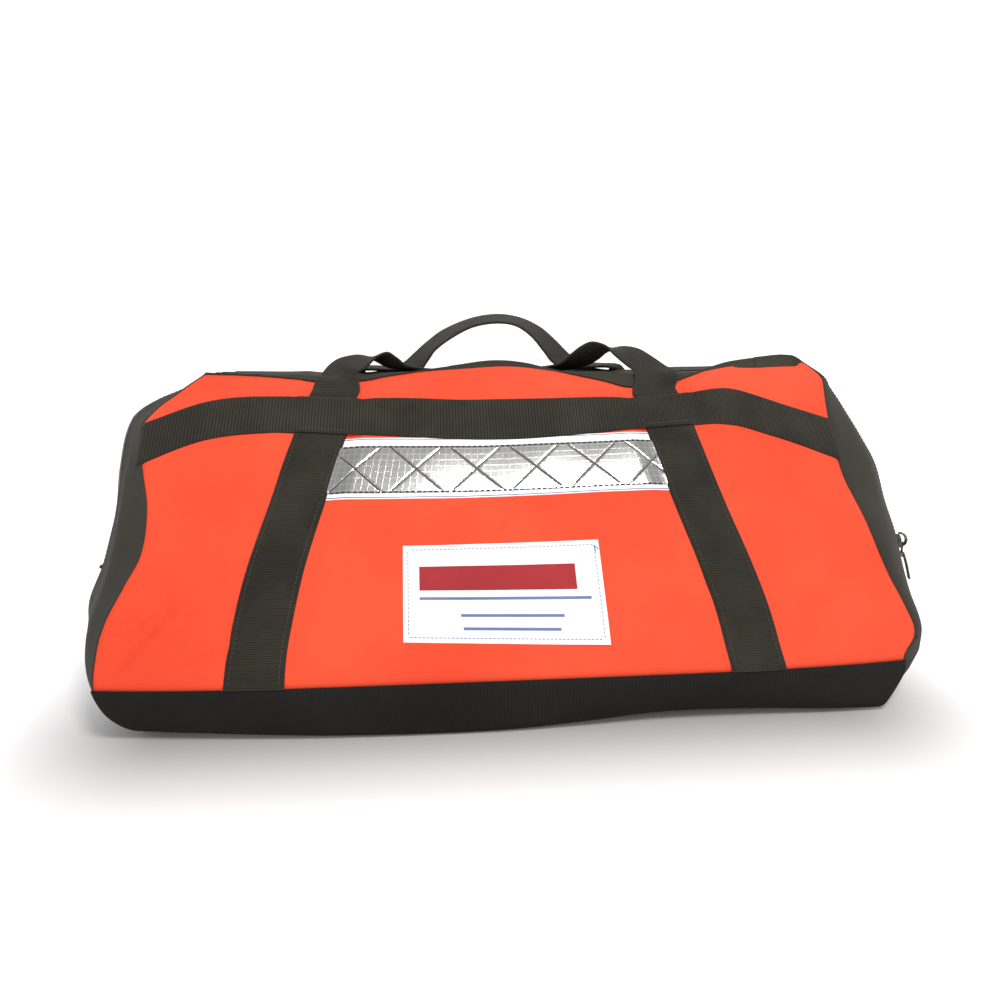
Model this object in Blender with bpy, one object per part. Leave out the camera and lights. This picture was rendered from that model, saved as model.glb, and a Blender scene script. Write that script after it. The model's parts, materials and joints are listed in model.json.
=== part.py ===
"""Soft kit carry bag: red fabric sides on a black gusset, webbing carry straps and a zipped top.

The long axis is X, the front faces -Y and Z is up. The origin is the middle of the base, on the
surface that the bag stands on. All sizes below are millimetres; MM turns them into metres.
"""
import math

import bmesh
import bpy
from mathutils import Vector

MM = 0.001

# Driving dimensions of the body
HALF_LENGTH = 370.0        # half length of the front and back panels
HALF_DEPTH = 205.0         # half depth of the base
BAND_HEIGHT = 50.0         # dark band round the base
TOP_HEIGHT = 316.0         # top seams of the front and back panels
TOP_FRONT = 0.0            # Y of the front top seam
TOP_WIDTH = 80.0           # width of the top gusset between its seams
CORNER_RADIUS = 70.0       # top corners of the front and back panels
END_BULGE = 67.0           # how far the end panels stand out past their seams
FOOT_BULGE = 30.0          # the same, at the floor
BELLY = 0.72               # below 1 the ends stand out most in front of their middle
TOP_CROWN = 8.0            # rise of the top gusset beside the handles
TOP_SAG = -4.0             # its dip under the handles
PLAN_BOW = 12.0            # how far the base edge turns back at the corners
TUCK = 8.0                 # how far the base band turns under
TUCK_HEIGHT = 15.0

# Cloth, seams and gaps
CLOTH = 2.5
GAP = 0.3
SEAM = 5.0                 # clear strip along a seam where two panels meet at an angle
FOLD = 1.6                 # the same where the band meets a panel
BASE_GAP = CLOTH + GAP
BOARD = 3.0
BOARD_INSET = 23.0
BOARD_HALF_LENGTH = 365.0

# Webbing, in its layers above the cloth
WEB_WIDTH = 50.0
WEB = 1.5
WEB_LOW = GAP
WEB_HIGH = WEB_LOW + WEB + GAP
STRAP_FOOT_X = 224.0       # centre of a carry strap at the base band
STRAP_LEAN = 0.198         # how far it comes in for each millimetre up the panel
WAIST_LOW = 237.0          # lower edge of the waist strap, up the front panel
WAIST_RAMP = 14.0          # how far before a crossing the waist strap rises over it
GRIP_WIDTH = 46.0
FOOT_CLEAR = 8.0           # a handle starts this far above the waist strap
GRIP = 2.4

# Zip
ZIP_HALF = 15.0            # half the zip slot in the gusset
ZIP_LEAN = 0.22            # how far in front of the ends' middle the zip runs, of their width
ZIP_EDGE = 1.1             # half the gap between the two rows of teeth
TAPE = 1.0
TEETH_WIDTH = 3.0
TEETH = 2.2
FLAP_HALF_LENGTH = 288.0   # the part of the top that opens
END_ZIP_START = 290.0      # the zip's end stretches start here on the top
ZIP_FOOT = 112.0           # height where the zip ends, on both end panels
SLIDER_HEIGHT = 128.0      # middle of the slider when the zip is shut
RING_HIGH = 6.6            # half sizes of the pull ring, between the middles of its wire
RING_WIDE = 5.8
RING_WIRE = 1.3
TAB_EYE = 2.3              # radius of the rolled eye at the top of the pull tab
TAB_LENGTH = 26.0
TAB_WIDTH = 4.0
TAB_PLATE = 1.0

UP = Vector((0.0, 0.0, 1.0))
OUTWARD = Vector((1.0, 0.0, 0.0))      # out of the right end
BACKWARD = Vector((0.0, 1.0, 0.0))

COLOURS = {
    "red": (0.72, 0.055, 0.02, 1.0),
    "black": (0.022, 0.020, 0.016, 1.0),
    "webbing": (0.030, 0.027, 0.021, 1.0),
    "board": (0.05, 0.05, 0.05, 1.0),
    "silver": (0.62, 0.64, 0.66, 1.0),
    "white": (0.85, 0.85, 0.86, 1.0),
    "metal": (0.10, 0.095, 0.09, 1.0),
}


def smooth(t):
    """Smoothstep, held at 0 and 1 outside its span."""
    t = min(max(t, 0.0), 1.0)
    return t * t * (3.0 - 2.0 * t)


def mix(a, b, t):
    return a + (b - a) * t


def span(first, last, count):
    """Evenly spaced values, both ends included."""
    return [mix(first, last, i / (count - 1)) for i in range(count)]


def material(name):
    """One Principled material for each colour, shared by the pieces that have it."""
    found = bpy.data.materials.get(name)
    if found:
        return found
    made = bpy.data.materials.new(name)
    made.use_nodes = True
    shader = made.node_tree.nodes["Principled BSDF"]
    shader.inputs["Base Color"].default_value = COLOURS[name]
    shader.inputs["Roughness"].default_value = 0.35 if name in ("metal", "silver") else 0.85
    shader.inputs["Metallic"].default_value = 1.0 if name == "metal" else 0.0
    made.diffuse_color = COLOURS[name]
    return made


def pivot(name, place):
    """An empty on a joint's axis, for the pieces that turn about it."""
    made = bpy.data.objects.new(name, None)
    made.location = Vector(place) * MM
    bpy.context.scene.collection.objects.link(made)
    return made


def finish(name, bm, colour, parent=None):
    """Turn a bmesh in millimetres into a named object, with its faces pointing out."""
    bmesh.ops.recalc_face_normals(bm, faces=bm.faces)
    home = Vector(parent.location) if parent else Vector()
    for vert in bm.verts:
        vert.co = vert.co * MM - home
    mesh = bpy.data.meshes.new(name)
    bm.to_mesh(mesh)
    bm.free()
    mesh.shade_smooth()
    mesh.set_sharp_from_angle(angle=math.radians(40.0))
    mesh.materials.append(material(colour))
    made = bpy.data.objects.new(name, mesh)
    made.parent = parent
    bpy.context.scene.collection.objects.link(made)
    return made


def sheet(name, rows, cols, place, outer, inner, colour, parent=None, hole=None):
    """A closed sheet of cloth between two offsets of a surface, with an optional hole of cells."""
    bm = bmesh.new()
    layers = [[[bm.verts.new(place(r, c, off)) for c in cols] for r in rows] for off in (outer, inner)]
    top, low = layers
    kept = {(i, j) for i in range(len(rows) - 1) for j in range(len(cols) - 1)
            if not (hole and hole(i, j))}
    for i, j in kept:
        corners = ((i, j), (i + 1, j), (i + 1, j + 1), (i, j + 1))
        bm.faces.new([top[a][b] for a, b in corners])
        bm.faces.new([low[a][b] for a, b in reversed(corners)])
        sides = (((i, j), (i, j + 1), (i - 1, j)), ((i + 1, j), (i + 1, j + 1), (i + 1, j)),
                 ((i, j), (i + 1, j), (i, j - 1)), ((i, j + 1), (i + 1, j + 1), (i, j + 1)))
        for (a, b), (c, d), neighbour in sides:
            if neighbour not in kept:
                bm.faces.new([top[a][b], top[c][d], low[c][d], low[a][b]])
    loose = [vert for vert in bm.verts if not vert.link_faces]
    bmesh.ops.delete(bm, geom=loose, context="VERTS")
    return finish(name, bm, colour, parent)


class Wall:
    """A long side of the bag: a smooth profile in Y and Z, measured up from the base band."""

    STEPS = 96

    def __init__(self, side, controls):
        self.side = side
        points = [self.curve(controls, i / self.STEPS) for i in range(self.STEPS + 1)]
        self.points = points
        self.lengths = [0.0]
        for a, b in zip(points, points[1:]):
            self.lengths.append(self.lengths[-1] + (b - a).length)
        self.length = self.lengths[-1]

    @staticmethod
    def curve(controls, t):
        a, b, c, d = (Vector(p) for p in controls)
        return (a * (1 - t) ** 3 + b * 3 * (1 - t) ** 2 * t + c * 3 * (1 - t) * t ** 2 + d * t ** 3)

    def profile(self, v):
        """Place and upward direction in the Y-Z plane, v millimetres up the panel."""
        if v < 0.0:
            height = BAND_HEIGHT + v
            tuck = TUCK * max(0.0, 1.0 - height / TUCK_HEIGHT) ** 2
            return Vector((self.side * (HALF_DEPTH - tuck), height)), Vector((0.0, 1.0))
        i = next((k for k in range(self.STEPS) if self.lengths[k + 1] >= v), self.STEPS - 1)
        a, b = self.points[i], self.points[i + 1]
        share = (v - self.lengths[i]) / (self.lengths[i + 1] - self.lengths[i])
        return a + (b - a) * share, (b - a).normalized()

    def at(self, x, v, off=0.0):
        """A point on the panel's outer face, or off millimetres out of it."""
        place, up = self.profile(v)
        bow = PLAN_BOW * (abs(x) / HALF_LENGTH) ** 4 * (1.0 - max(v, 0.0) / self.length)
        out = Vector((self.side * up.y, -self.side * up.x))
        return Vector((x, place.x - self.side * bow + out.x * off, place.y + out.y * off))

    def half_width(self, v):
        """Half the panel's length at a height: straight sides with rounded top corners."""
        into = max(0.0, v - (self.length - CORNER_RADIUS))
        return HALF_LENGTH - CORNER_RADIUS + math.sqrt(max(0.0, CORNER_RADIUS ** 2 - into ** 2))

    def outline(self, q):
        """The panel's edge: q is 0-1 up the band, 1-2 up the side, 2-3 round the corner, 3-4 along
        the top to the middle. Returns x and v."""
        straight = self.length - CORNER_RADIUS
        if q <= 1.0:
            return HALF_LENGTH, mix(BASE_GAP, BAND_HEIGHT, q) - BAND_HEIGHT
        if q <= 2.0:
            return HALF_LENGTH, straight * (q - 1.0)
        if q <= 3.0:
            turn = (q - 2.0) * math.pi / 2.0
            return (HALF_LENGTH - CORNER_RADIUS * (1.0 - math.cos(turn)),
                    straight + CORNER_RADIUS * math.sin(turn))
        return (HALF_LENGTH - CORNER_RADIUS) * (4.0 - q), self.length


TOP_BACK = TOP_FRONT + TOP_WIDTH
FRONT = Wall(-1, ((-HALF_DEPTH, BAND_HEIGHT), (-HALF_DEPTH + 46, BAND_HEIGHT + 100),
                  (TOP_FRONT - 69, TOP_HEIGHT - 58), (TOP_FRONT, TOP_HEIGHT)))
BACK = Wall(1, ((HALF_DEPTH, BAND_HEIGHT), (HALF_DEPTH - 2, BAND_HEIGHT + 100),
                (TOP_BACK + 60, TOP_HEIGHT - 30), (TOP_BACK, TOP_HEIGHT)))


def bulge(q, x):
    """How far the gusset stands out where it stands out most."""
    if q <= 2.0:
        return mix(FOOT_BULGE, END_BULGE, smooth(q / 1.4))
    top = mix(TOP_SAG, TOP_CROWN, smooth((abs(x) - 150.0) / 80.0))
    return mix(END_BULGE, top, smooth(q - 2.0)) if q <= 3.0 else top


def gusset_point(side, q, s):
    """A point on the black gusset; s runs from the front seam to the back seam."""
    x, v = FRONT.outline(q)
    front = FRONT.at(x, v)
    back = BACK.at(*BACK.outline(q))
    turn = min(max(q - 2.0, 0.0), 1.0) * math.pi / 2.0
    out = Vector((math.cos(turn), 0.0, math.sin(turn)))
    belly = math.sin(math.pi * max(s, 0.0) ** mix(BELLY, 1.0, smooth(q - 2.0)))
    place = front.lerp(back, s) + out * bulge(q, x) * belly
    place.x *= side
    return place


def gusset_frame(side, q, s):
    """The place on the gusset with its directions along the zip, across it and outward."""
    step = 0.02
    along = gusset_point(side, q + step, s) - gusset_point(side, q - step, s)
    across = gusset_point(side, q, s + step) - gusset_point(side, q, s - step)
    out = across.cross(along) * side
    along.normalize()
    across.normalize()
    return gusset_point(side, q, s), along, across, out.normalized()


def gusset_width(q):
    return (BACK.at(*BACK.outline(q)) - FRONT.at(*FRONT.outline(q))).length


def zip_share(q):
    """Where the zip runs between the front seam (0) and the back seam (1)."""
    return 0.5 - ZIP_LEAN * smooth((3.0 - q) / 1.3)


def gusset(side, q, reach, off):
    """A point of the gusset by its distance reach from the zip line (back is positive)."""
    s = zip_share(q) + reach / gusset_width(q)
    place, _along, _across, out = gusset_frame(side, q, s)
    return place + out * off


def q_at_x(x):
    """The outline value of a place on the top."""
    return 4.0 - abs(x) / (HALF_LENGTH - CORNER_RADIUS)


def q_at_height(height):
    """The outline value where the zip line reaches a height on an end panel."""
    low, high = 0.5, 3.0
    for _ in range(40):
        middle = (low + high) / 2.0
        if gusset_point(1, middle, zip_share(middle)).z < height:
            low = middle
        else:
            high = middle
    return low


def base():
    """The bottom cloth and the stiffener board that lies on it."""
    outline = [FRONT.at(x, -BAND_HEIGHT) for x in span(-HALF_LENGTH, HALF_LENGTH, 17)]
    outline += [gusset_point(1, 0.0, s) for s in span(0.06, 0.94, 13)]
    outline += [BACK.at(x, -BAND_HEIGHT) for x in span(HALF_LENGTH, -HALF_LENGTH, 17)]
    outline += [gusset_point(-1, 0.0, s) for s in span(0.94, 0.06, 13)]
    plate("base_panel", outline, 0.0, CLOTH, "black")
    half = HALF_DEPTH - BOARD_INSET
    board = [(sx * BOARD_HALF_LENGTH, sy * half) for sx, sy in ((-1, -1), (1, -1), (1, 1), (-1, 1))]
    plate("base_stiffener_board", board, BASE_GAP, BASE_GAP + BOARD, "board")


def plate(name, outline, low, high, colour):
    """A flat plate with an outline in X and Y."""
    bm = bmesh.new()
    bottom = [bm.verts.new((p[0], p[1], low)) for p in outline]
    top = [bm.verts.new((p[0], p[1], high)) for p in outline]
    bm.faces.new(bottom)
    bm.faces.new(top)
    for i in range(len(outline)):
        j = (i + 1) % len(outline)
        bm.faces.new([bottom[i], bottom[j], top[j], top[i]])
    bmesh.ops.triangulate(bm, faces=[f for f in bm.faces if len(f.verts) > 4])
    finish(name, bm, colour)


def long_side(name, wall):
    """A coloured panel with rounded top corners and the dark band below it."""
    straight = wall.length - CORNER_RADIUS
    rows = span(FOLD, straight, 9)
    rows += [straight + CORNER_RADIUS * math.sin(a) for a in span(0.0, math.pi / 2.0, 7)[1:]]
    sheet(f"{name}_panel", rows, span(-1.0, 1.0, 21),
          lambda v, u, off: wall.at(u * wall.half_width(v), v, off), 0.0, -CLOTH, "red")
    sheet(f"{name}_base_band", [BASE_GAP - BAND_HEIGHT, -42.0, -35.0, -GAP],
          span(-HALF_LENGTH, HALF_LENGTH, 21), lambda v, x, off: wall.at(x, v, off),
          0.0, -CLOTH, "black")


def zip_climb():
    """Where the zip starts on an end panel, and the rows above it up to the opening top."""
    foot = q_at_height(ZIP_FOOT)
    return foot, span(foot, 2.0, 6)[1:] + span(2.0, 3.0, 8)[1:] + [q_at_x(END_ZIP_START)]


def end_panel(name, side):
    """One end of the gusset, slotted for the zip above the zip's foot."""
    foot, climb = zip_climb()
    rows = span(0.0, 1.0, 4) + [foot] + climb
    first_slotted = rows.index(foot)
    inner = len(COLUMNS) // 2 - 1

    def place(q, column, off):
        sign, share = column
        room = gusset_width(q) * (zip_share(q) if sign < 0 else 1.0 - zip_share(q)) - SEAM
        return gusset(side, q, sign * mix(ZIP_HALF, room, share), off)

    sheet(f"{name}_end_panel", rows, COLUMNS, place, 0.0, -CLOTH, "black",
          hole=lambda i, j: j == inner and i >= first_slotted)


COLUMNS = [(-1, k / 5) for k in range(5, -1, -1)] + [(1, k / 5) for k in range(6)]


def end_zip(name, side):
    """The zip's tape, teeth and stop on one end panel."""
    foot, climb = zip_climb()

    def place(q, reach, off):
        return gusset(side, q, reach, off)

    half = ZIP_HALF - GAP
    sheet(f"{name}_end_zip_tape", [foot + 0.03] + climb, [-half, 0.0, half], place,
          -GAP, -GAP - TAPE, "webbing")
    width = TEETH_WIDTH + ZIP_EDGE
    sheet(f"{name}_end_zip_teeth", [foot + 0.07] + climb, [-width, width], place,
          TEETH, 0.0, "metal")
    sheet(f"{name}_zip_stop", [foot + 0.04, foot + 0.06], [-width - 1.0, width + 1.0], place,
          TEETH + 0.8, 0.0, "metal")


def top_flap(name, sign, parent):
    """Half of the opening top, with its zip tape and its row of teeth."""
    xs = span(-FLAP_HALF_LENGTH, FLAP_HALF_LENGTH, 19)

    def place(x, reach, off):
        return gusset(1 if x >= 0 else -1, q_at_x(x), sign * reach, off)

    half = TOP_WIDTH / 2.0 - SEAM
    sheet(f"{name}_zip_flap", xs, span(ZIP_HALF, half, 3), place, 0.0, -CLOTH, "black", parent)
    edge = ZIP_EDGE + GAP
    sheet(f"{name}_zip_tape", xs, [edge, ZIP_HALF - GAP], place, -GAP, -GAP - TAPE, "webbing", parent)
    sheet(f"{name}_zip_teeth", xs, [edge, edge + TEETH_WIDTH], place, TEETH, 0.0, "metal", parent)


def strap_x(v):
    return STRAP_FOOT_X - STRAP_LEAN * v


def carry_strap(name, wall, side):
    """The lower run of a carry strap, from the base band to the waist strap's upper edge."""
    top = wall.waist + WEB_WIDTH - 1.0
    place = lambda v, w, off: wall.at(side * strap_x(v) + w, v, off)
    half = WEB_WIDTH / 2.0
    sheet(name, span(FOLD, top, 13), [-half, half], place, WEB_LOW + WEB, WEB_LOW, "webbing")


def waist_strap(name, wall):
    """Webbing along the panel from end seam to end seam, over both carry straps."""
    low, high = wall.waist, wall.waist + WEB_WIDTH
    reach = min(wall.half_width(low), wall.half_width(high)) - 1.0
    crossing = strap_x((low + high) / 2.0)
    clear = WEB_WIDTH / 2.0 + WAIST_RAMP

    def place(x, v, off):
        near = smooth((clear + WAIST_RAMP - abs(abs(x) - crossing)) / WAIST_RAMP)
        return wall.at(x, v, off + near * (WEB_HIGH - WEB_LOW))

    flat = [crossing - clear - WAIST_RAMP, crossing - clear, crossing + clear,
            crossing + clear + WAIST_RAMP]
    half = span(0.0, flat[0], 5) + flat[1:3] + span(flat[3], reach, 4)
    xs = [-x for x in reversed(half[1:])] + half
    sheet(name, xs, span(low, high, 3), place, WEB_LOW + WEB, WEB_LOW, "webbing")


def smooth_path(knots, steps):
    """A Catmull-Rom curve through points that each carry a width direction."""
    ends = [knots[0]] + knots + [knots[-1]]
    path = []
    for k in range(1, len(ends) - 2):
        for i in range(steps + (k == len(ends) - 3)):
            t = i / steps
            weights = (-t ** 3 + 2 * t ** 2 - t, 3 * t ** 3 - 5 * t ** 2 + 2,
                       -3 * t ** 3 + 4 * t ** 2 + t, t ** 3 - t ** 2)
            path.append([sum((Vector(ends[k - 1 + n][m]) * w for n, w in enumerate(weights)),
                             Vector()) / 2.0 for m in range(2)])
    return path


def ribbon(name, path, width, thick, colour, parent):
    """A flat strap swept along a path of places and width directions."""
    bm = bmesh.new()
    rings = []
    for i, (place, across) in enumerate(path):
        ahead = path[min(i + 1, len(path) - 1)][0] - path[max(i - 1, 0)][0]
        ahead.normalize()
        if 0 < i < len(path) - 1:
            across = (across - ahead * across.dot(ahead)).normalized()
        out = across.cross(ahead).normalized()
        rings.append([bm.verts.new(place + across * a * width / 2.0 + out * b * thick / 2.0)
                      for a, b in ((-1, -1), (1, -1), (1, 1), (-1, 1))])
    for a, b in zip(rings, rings[1:]):
        for k in range(4):
            bm.faces.new([a[k], a[(k + 1) % 4], b[(k + 1) % 4], b[k]])
    bm.faces.new(rings[0])
    bm.faces.new(rings[-1])
    finish(name, bm, colour, parent)


def handle(name, wall, knots, parent):
    """A carry loop: up from the panel above the waist strap, over, and down again."""
    foot = wall.waist + WEB_WIDTH + FOOT_CLEAR
    lift = 1.4 + GRIP / 2.0
    leg = [(wall.at(strap_x(v), v, lift + rise), (1, 0, 0))
           for v, rise in ((foot, 0.0), (foot + 14.0, 0.4), (wall.length - 14.0, 2.5))]
    right = leg + [(Vector(place), across) for place, across in knots]
    left = [((-place[0], place[1], place[2]), (-across[0], across[1], across[2]))
            for place, across in reversed(right[:-1])]
    ribbon(name, smooth_path(right + left, 3), GRIP_WIDTH, GRIP, "webbing", parent)


def front_handle():
    """This loop has fallen back over the top, and its grip lies along the zip."""
    axis = FRONT.at(0.0, FRONT.waist + WEB_WIDTH + FOOT_CLEAR, 2.6)
    knots = [((155, 7, 330), (0.85, 0.45, 0.2)), ((136, 18, 339), (0.5, 0.85, 0.3)),
             ((108, 28, 338), (0.1, 1.0, 0.1)), ((78, 34, 328), (0, 1, 0)),
             ((46, 36, 321), (0, 1, 0)), ((0, 36, 319), (0, 1, 0))]
    handle("front_handle", FRONT, knots, pivot("front_handle_axis", axis))


def back_handle():
    """This loop lies along the back of the top and then stands up in an arch."""
    axis = BACK.at(0.0, BACK.waist + WEB_WIDTH + FOOT_CLEAR, 2.6)
    knots = [((152, 86, 328), (0.85, -0.5, 0.2)), ((134, 88, 340), (0.5, -0.85, 0.2)),
             ((108, 90, 351), (0.1, -1, 0)), ((72, 92, 362), (0, -1, 0)),
             ((34, 92, 371), (0, -1, 0)), ((0, 92, 373), (0, -1, 0))]
    handle("back_handle", BACK, knots, pivot("back_handle_axis", axis))


def front_trim():
    """The reflective strip on its white backing, and the blank label patch."""
    low, height, edge, fall = 164.0, 70.0, 10.0, 1.0
    inner = lambda v: strap_x(v) - WEB_WIDTH / 2.0 - fall
    sheet("reflective_backing", span(low, low + height, 4), span(-1.0, 1.0, 13),
          lambda v, u, off: FRONT.at(u * inner(v), v, off), 0.9, GAP, "white")
    sheet("reflective_tape", span(low + edge, low + height - edge, 3), span(-1.0, 1.0, 13),
          lambda v, u, off: FRONT.at(u * inner(v), v, off), 1.8, 1.2, "silver")
    centre, half_width, first, tall = -7.0, 90.0, 34.0, 91.0
    sheet("label_patch", span(first, first + tall, 5), span(centre - half_width, centre + half_width, 7),
          lambda v, x, off: FRONT.at(x, v, off), 0.9, GAP, "white")


def bar_loop(name, frame, path, wide, thick, colour, parent, closed):
    """A bar of rectangular section bent along points given in a local frame."""
    home, across, out, up = frame
    bm = bmesh.new()
    rings = []
    count = len(path)
    for i, (a, b) in enumerate(path):
        before = path[i - 1] if closed or i else path[0]
        after = path[(i + 1) % count] if closed or i + 1 < count else path[-1]
        run = Vector((after[0] - before[0], after[1] - before[1])).normalized()
        side = Vector((-run.y, run.x)) * thick / 2.0
        rings.append([bm.verts.new(home + across * c * wide / 2.0 + out * (a + e * side.x)
                                   + up * (b + e * side.y))
                      for c, e in ((-1, -1), (1, -1), (1, 1), (-1, 1))])
    pairs = list(zip(rings, rings[1:])) + ([(rings[-1], rings[0])] if closed else [])
    for first, second in pairs:
        for k in range(4):
            bm.faces.new([first[k], first[(k + 1) % 4], second[(k + 1) % 4], second[k]])
    if not closed:
        bm.faces.new(rings[0])
        bm.faces.new(rings[-1])
    finish(name, bm, colour, parent)


def slider():
    """The zip slider with its bridge, its ring and its long pull tab, hanging on the right end."""
    q = q_at_height(SLIDER_HEIGHT)
    home, along, across, out = gusset_frame(1, q, zip_share(q))
    home = home + out * (TEETH + 0.6)
    frame = (home, across, out, along)
    travel = pivot("zip_slider_axis", home)
    body = [(0.3, -7.0), (3.2, -5.5), (3.2, 5.5), (0.3, 7.0)]
    bm = bmesh.new()
    loops = [[bm.verts.new(home + out * a + along * b + across * c * 4.6) for a, b in body]
             for c in (-1, 1)]
    for k in range(4):
        bm.faces.new([loops[0][k], loops[0][(k + 1) % 4], loops[1][(k + 1) % 4], loops[1][k]])
    bm.faces.new(loops[0])
    bm.faces.new(loops[1])
    finish("zip_slider_body", bm, "metal", travel)
    arch = [(3.6 + 4.6 * math.sin(a), 5.0 * math.cos(a)) for a in span(0.0, math.pi, 9)]
    bar_loop("zip_slider_bridge", frame, arch, 2.2, 1.2, "metal", travel, closed=False)

    ring_axis = home + out * 5.6 - along * 1.6
    ring_pivot = pivot("pull_ring_axis", ring_axis)
    flat = (ring_axis - UP * RING_HIGH, OUTWARD, BACKWARD, UP)
    circle = [(RING_WIDE * math.cos(a), RING_HIGH * math.sin(a))
              for a in span(0.0, 2.0 * math.pi, 17)[:-1]]
    bar_loop("zip_pull_ring", flat, circle, RING_WIRE, RING_WIRE, "metal", ring_pivot, closed=True)

    tab_axis = ring_axis - UP * 2.0 * RING_HIGH
    rolled = [(TAB_EYE * math.cos(a), TAB_EYE * math.sin(a))
              for a in span(0.0, math.radians(280.0), 10)]
    tail = [(TAB_EYE, z) for z in span(-TAB_LENGTH, -TAB_EYE, 4)]
    bar_loop("zip_pull_tab", (tab_axis, BACKWARD, OUTWARD, UP), tail + rolled, TAB_WIDTH,
             TAB_PLATE, "metal", pivot("pull_tab_axis", tab_axis), closed=False)


def main():
    for old in list(bpy.data.objects):
        bpy.data.objects.remove(old, do_unlink=True)
    FRONT.waist = WAIST_LOW
    BACK.waist = BACK.length - (FRONT.length - WAIST_LOW)
    base()
    for name, wall in (("front", FRONT), ("back", BACK)):
        long_side(name, wall)
        waist_strap(f"{name}_waist_strap", wall)
        for hand, side in (("left", -1), ("right", 1)):
            carry_strap(f"{name}_{hand}_strap", wall, side)
    for name, side in (("left", -1), ("right", 1)):
        end_panel(name, side)
        end_zip(name, side)
    top_flap("front", -1, pivot("front_flap_axis", (0.0, TOP_FRONT, TOP_HEIGHT)))
    top_flap("back", 1, pivot("back_flap_axis", (0.0, TOP_BACK, TOP_HEIGHT)))
    front_handle()
    back_handle()
    front_trim()
    slider()


main()
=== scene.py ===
"""The bag's surfaces are functions of a place along it and a distance up the cloth, in millimetres, and
everything sewn on follows them. MM turns millimetres into the frame's metres.
"""
import json
import math

import bpy
import numpy as np
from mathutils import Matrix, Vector


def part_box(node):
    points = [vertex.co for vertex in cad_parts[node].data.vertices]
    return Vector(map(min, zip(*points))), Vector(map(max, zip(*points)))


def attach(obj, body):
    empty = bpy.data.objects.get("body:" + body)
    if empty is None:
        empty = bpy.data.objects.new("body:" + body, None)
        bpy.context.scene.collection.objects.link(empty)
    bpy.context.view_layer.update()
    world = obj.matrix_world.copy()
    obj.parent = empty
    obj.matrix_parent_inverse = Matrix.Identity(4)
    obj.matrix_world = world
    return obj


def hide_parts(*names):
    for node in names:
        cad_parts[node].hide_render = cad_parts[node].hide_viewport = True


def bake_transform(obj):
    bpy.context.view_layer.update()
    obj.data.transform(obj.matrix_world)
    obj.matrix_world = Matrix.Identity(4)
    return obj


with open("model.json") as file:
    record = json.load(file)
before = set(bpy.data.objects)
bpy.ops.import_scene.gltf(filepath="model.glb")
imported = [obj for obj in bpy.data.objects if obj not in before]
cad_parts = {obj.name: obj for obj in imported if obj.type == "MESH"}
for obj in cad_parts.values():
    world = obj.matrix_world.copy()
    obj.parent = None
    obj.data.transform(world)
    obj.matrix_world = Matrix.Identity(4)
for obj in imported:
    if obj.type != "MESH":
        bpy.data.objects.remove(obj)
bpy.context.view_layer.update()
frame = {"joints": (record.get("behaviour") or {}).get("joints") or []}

MM = 0.001

# The frame's driving sizes, in millimetres
PANEL_LOW, PANEL_HIGH = (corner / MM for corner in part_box("front_panel"))
HALF_LENGTH = PANEL_HIGH.x
HALF_DEPTH = -PANEL_LOW.y
TOP_HEIGHT = PANEL_HIGH.z
BAND_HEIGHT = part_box("front_base_band")[1].z / MM + 0.3
TOP_FRONT = 0.0
TOP_BACK = 80.0
JOINTS = {joint["name"]: joint for joint in frame["joints"]}

# Body shape
PLAN_BOW = 12.0
# How far each end stands out, by the height up the cloth
END_BULGE = {-1: ((-50, -6), (-20, 26), (0, 36), (45, 44), (90, 34), (150, 29), (200, 27), (240, 22),
                  (262, 14), (285, 1), (305, -4), (335, -3)),
             1: ((-50, 4), (-20, 36), (-6, 54), (6, 54), (20, 52), (50, 53), (90, 60), (150, 55), (200, 47),
                 (230, 35), (262, 24), (285, 18), (312, 10))}
BELLY = {-1: 1.0, 1: 0.72}  # below 1 an end stands out most in front of its middle
TOP_CROWN = -3.0
TOP_SAG = -5.0
ZIP_RIDGE = 8.0            # the stiff zip stands out from the ends this far,
ZIP_RIDGE_WIDTH = 26.0     # fading to its sides over this
SEAM_BLEND = 26.0          # a panel's wavy seam is felt this far into the gusset
CLOTH = 1.2
SEAM_DIP = 2.2             # the cloth turns in this far at a seam
SEAM_REACH = 9.0           # and begins to turn this far from it

# Webbing
WEB_WIDTH = 50.0
WEB = 1.3
RIB_PITCH = 3.1
RIB = 0.42
STRAP_RIB_PITCH = 2.1      # the carry straps are of finer webbing
STRAP_RIB = 0.26
GRIP_RIB_PITCH = 2.6
GRIP_WIDTH = 48.0
GRIP_RISE = 1.3            # the middle of a handle's strap above the cloth it lies on
STRAP_FOOT_X = 224.0
STRAP_AT_WAIST = 170.0      # about how far out the carry straps pass under the waist strap
STRAP_LEAN = 0.198
STRAP_DRIFT = {-1: ((0, 2), (20, 6), (65, 9), (105, 9.5), (140, 8), (175, 6), (215, 5), (260, 3), (320, 5)),
               1: ((0, 1), (65, 4), (105, 2.5), (150, 0), (260, 2), (320, 7))}
WAIST_LOW = 237.0
WAIST_LIFT = 0.15          # the waist strap above the cloth
WAIST_STEP = WEB + 1.45    # and how much more where it crosses a carry strap
STITCH_INSET = 3.5         # from a carry strap's edge
FOOT_ROWS = (6.0, 24.0, 46.0)    # a handle's feet, up from the waist strap's middle

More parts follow.
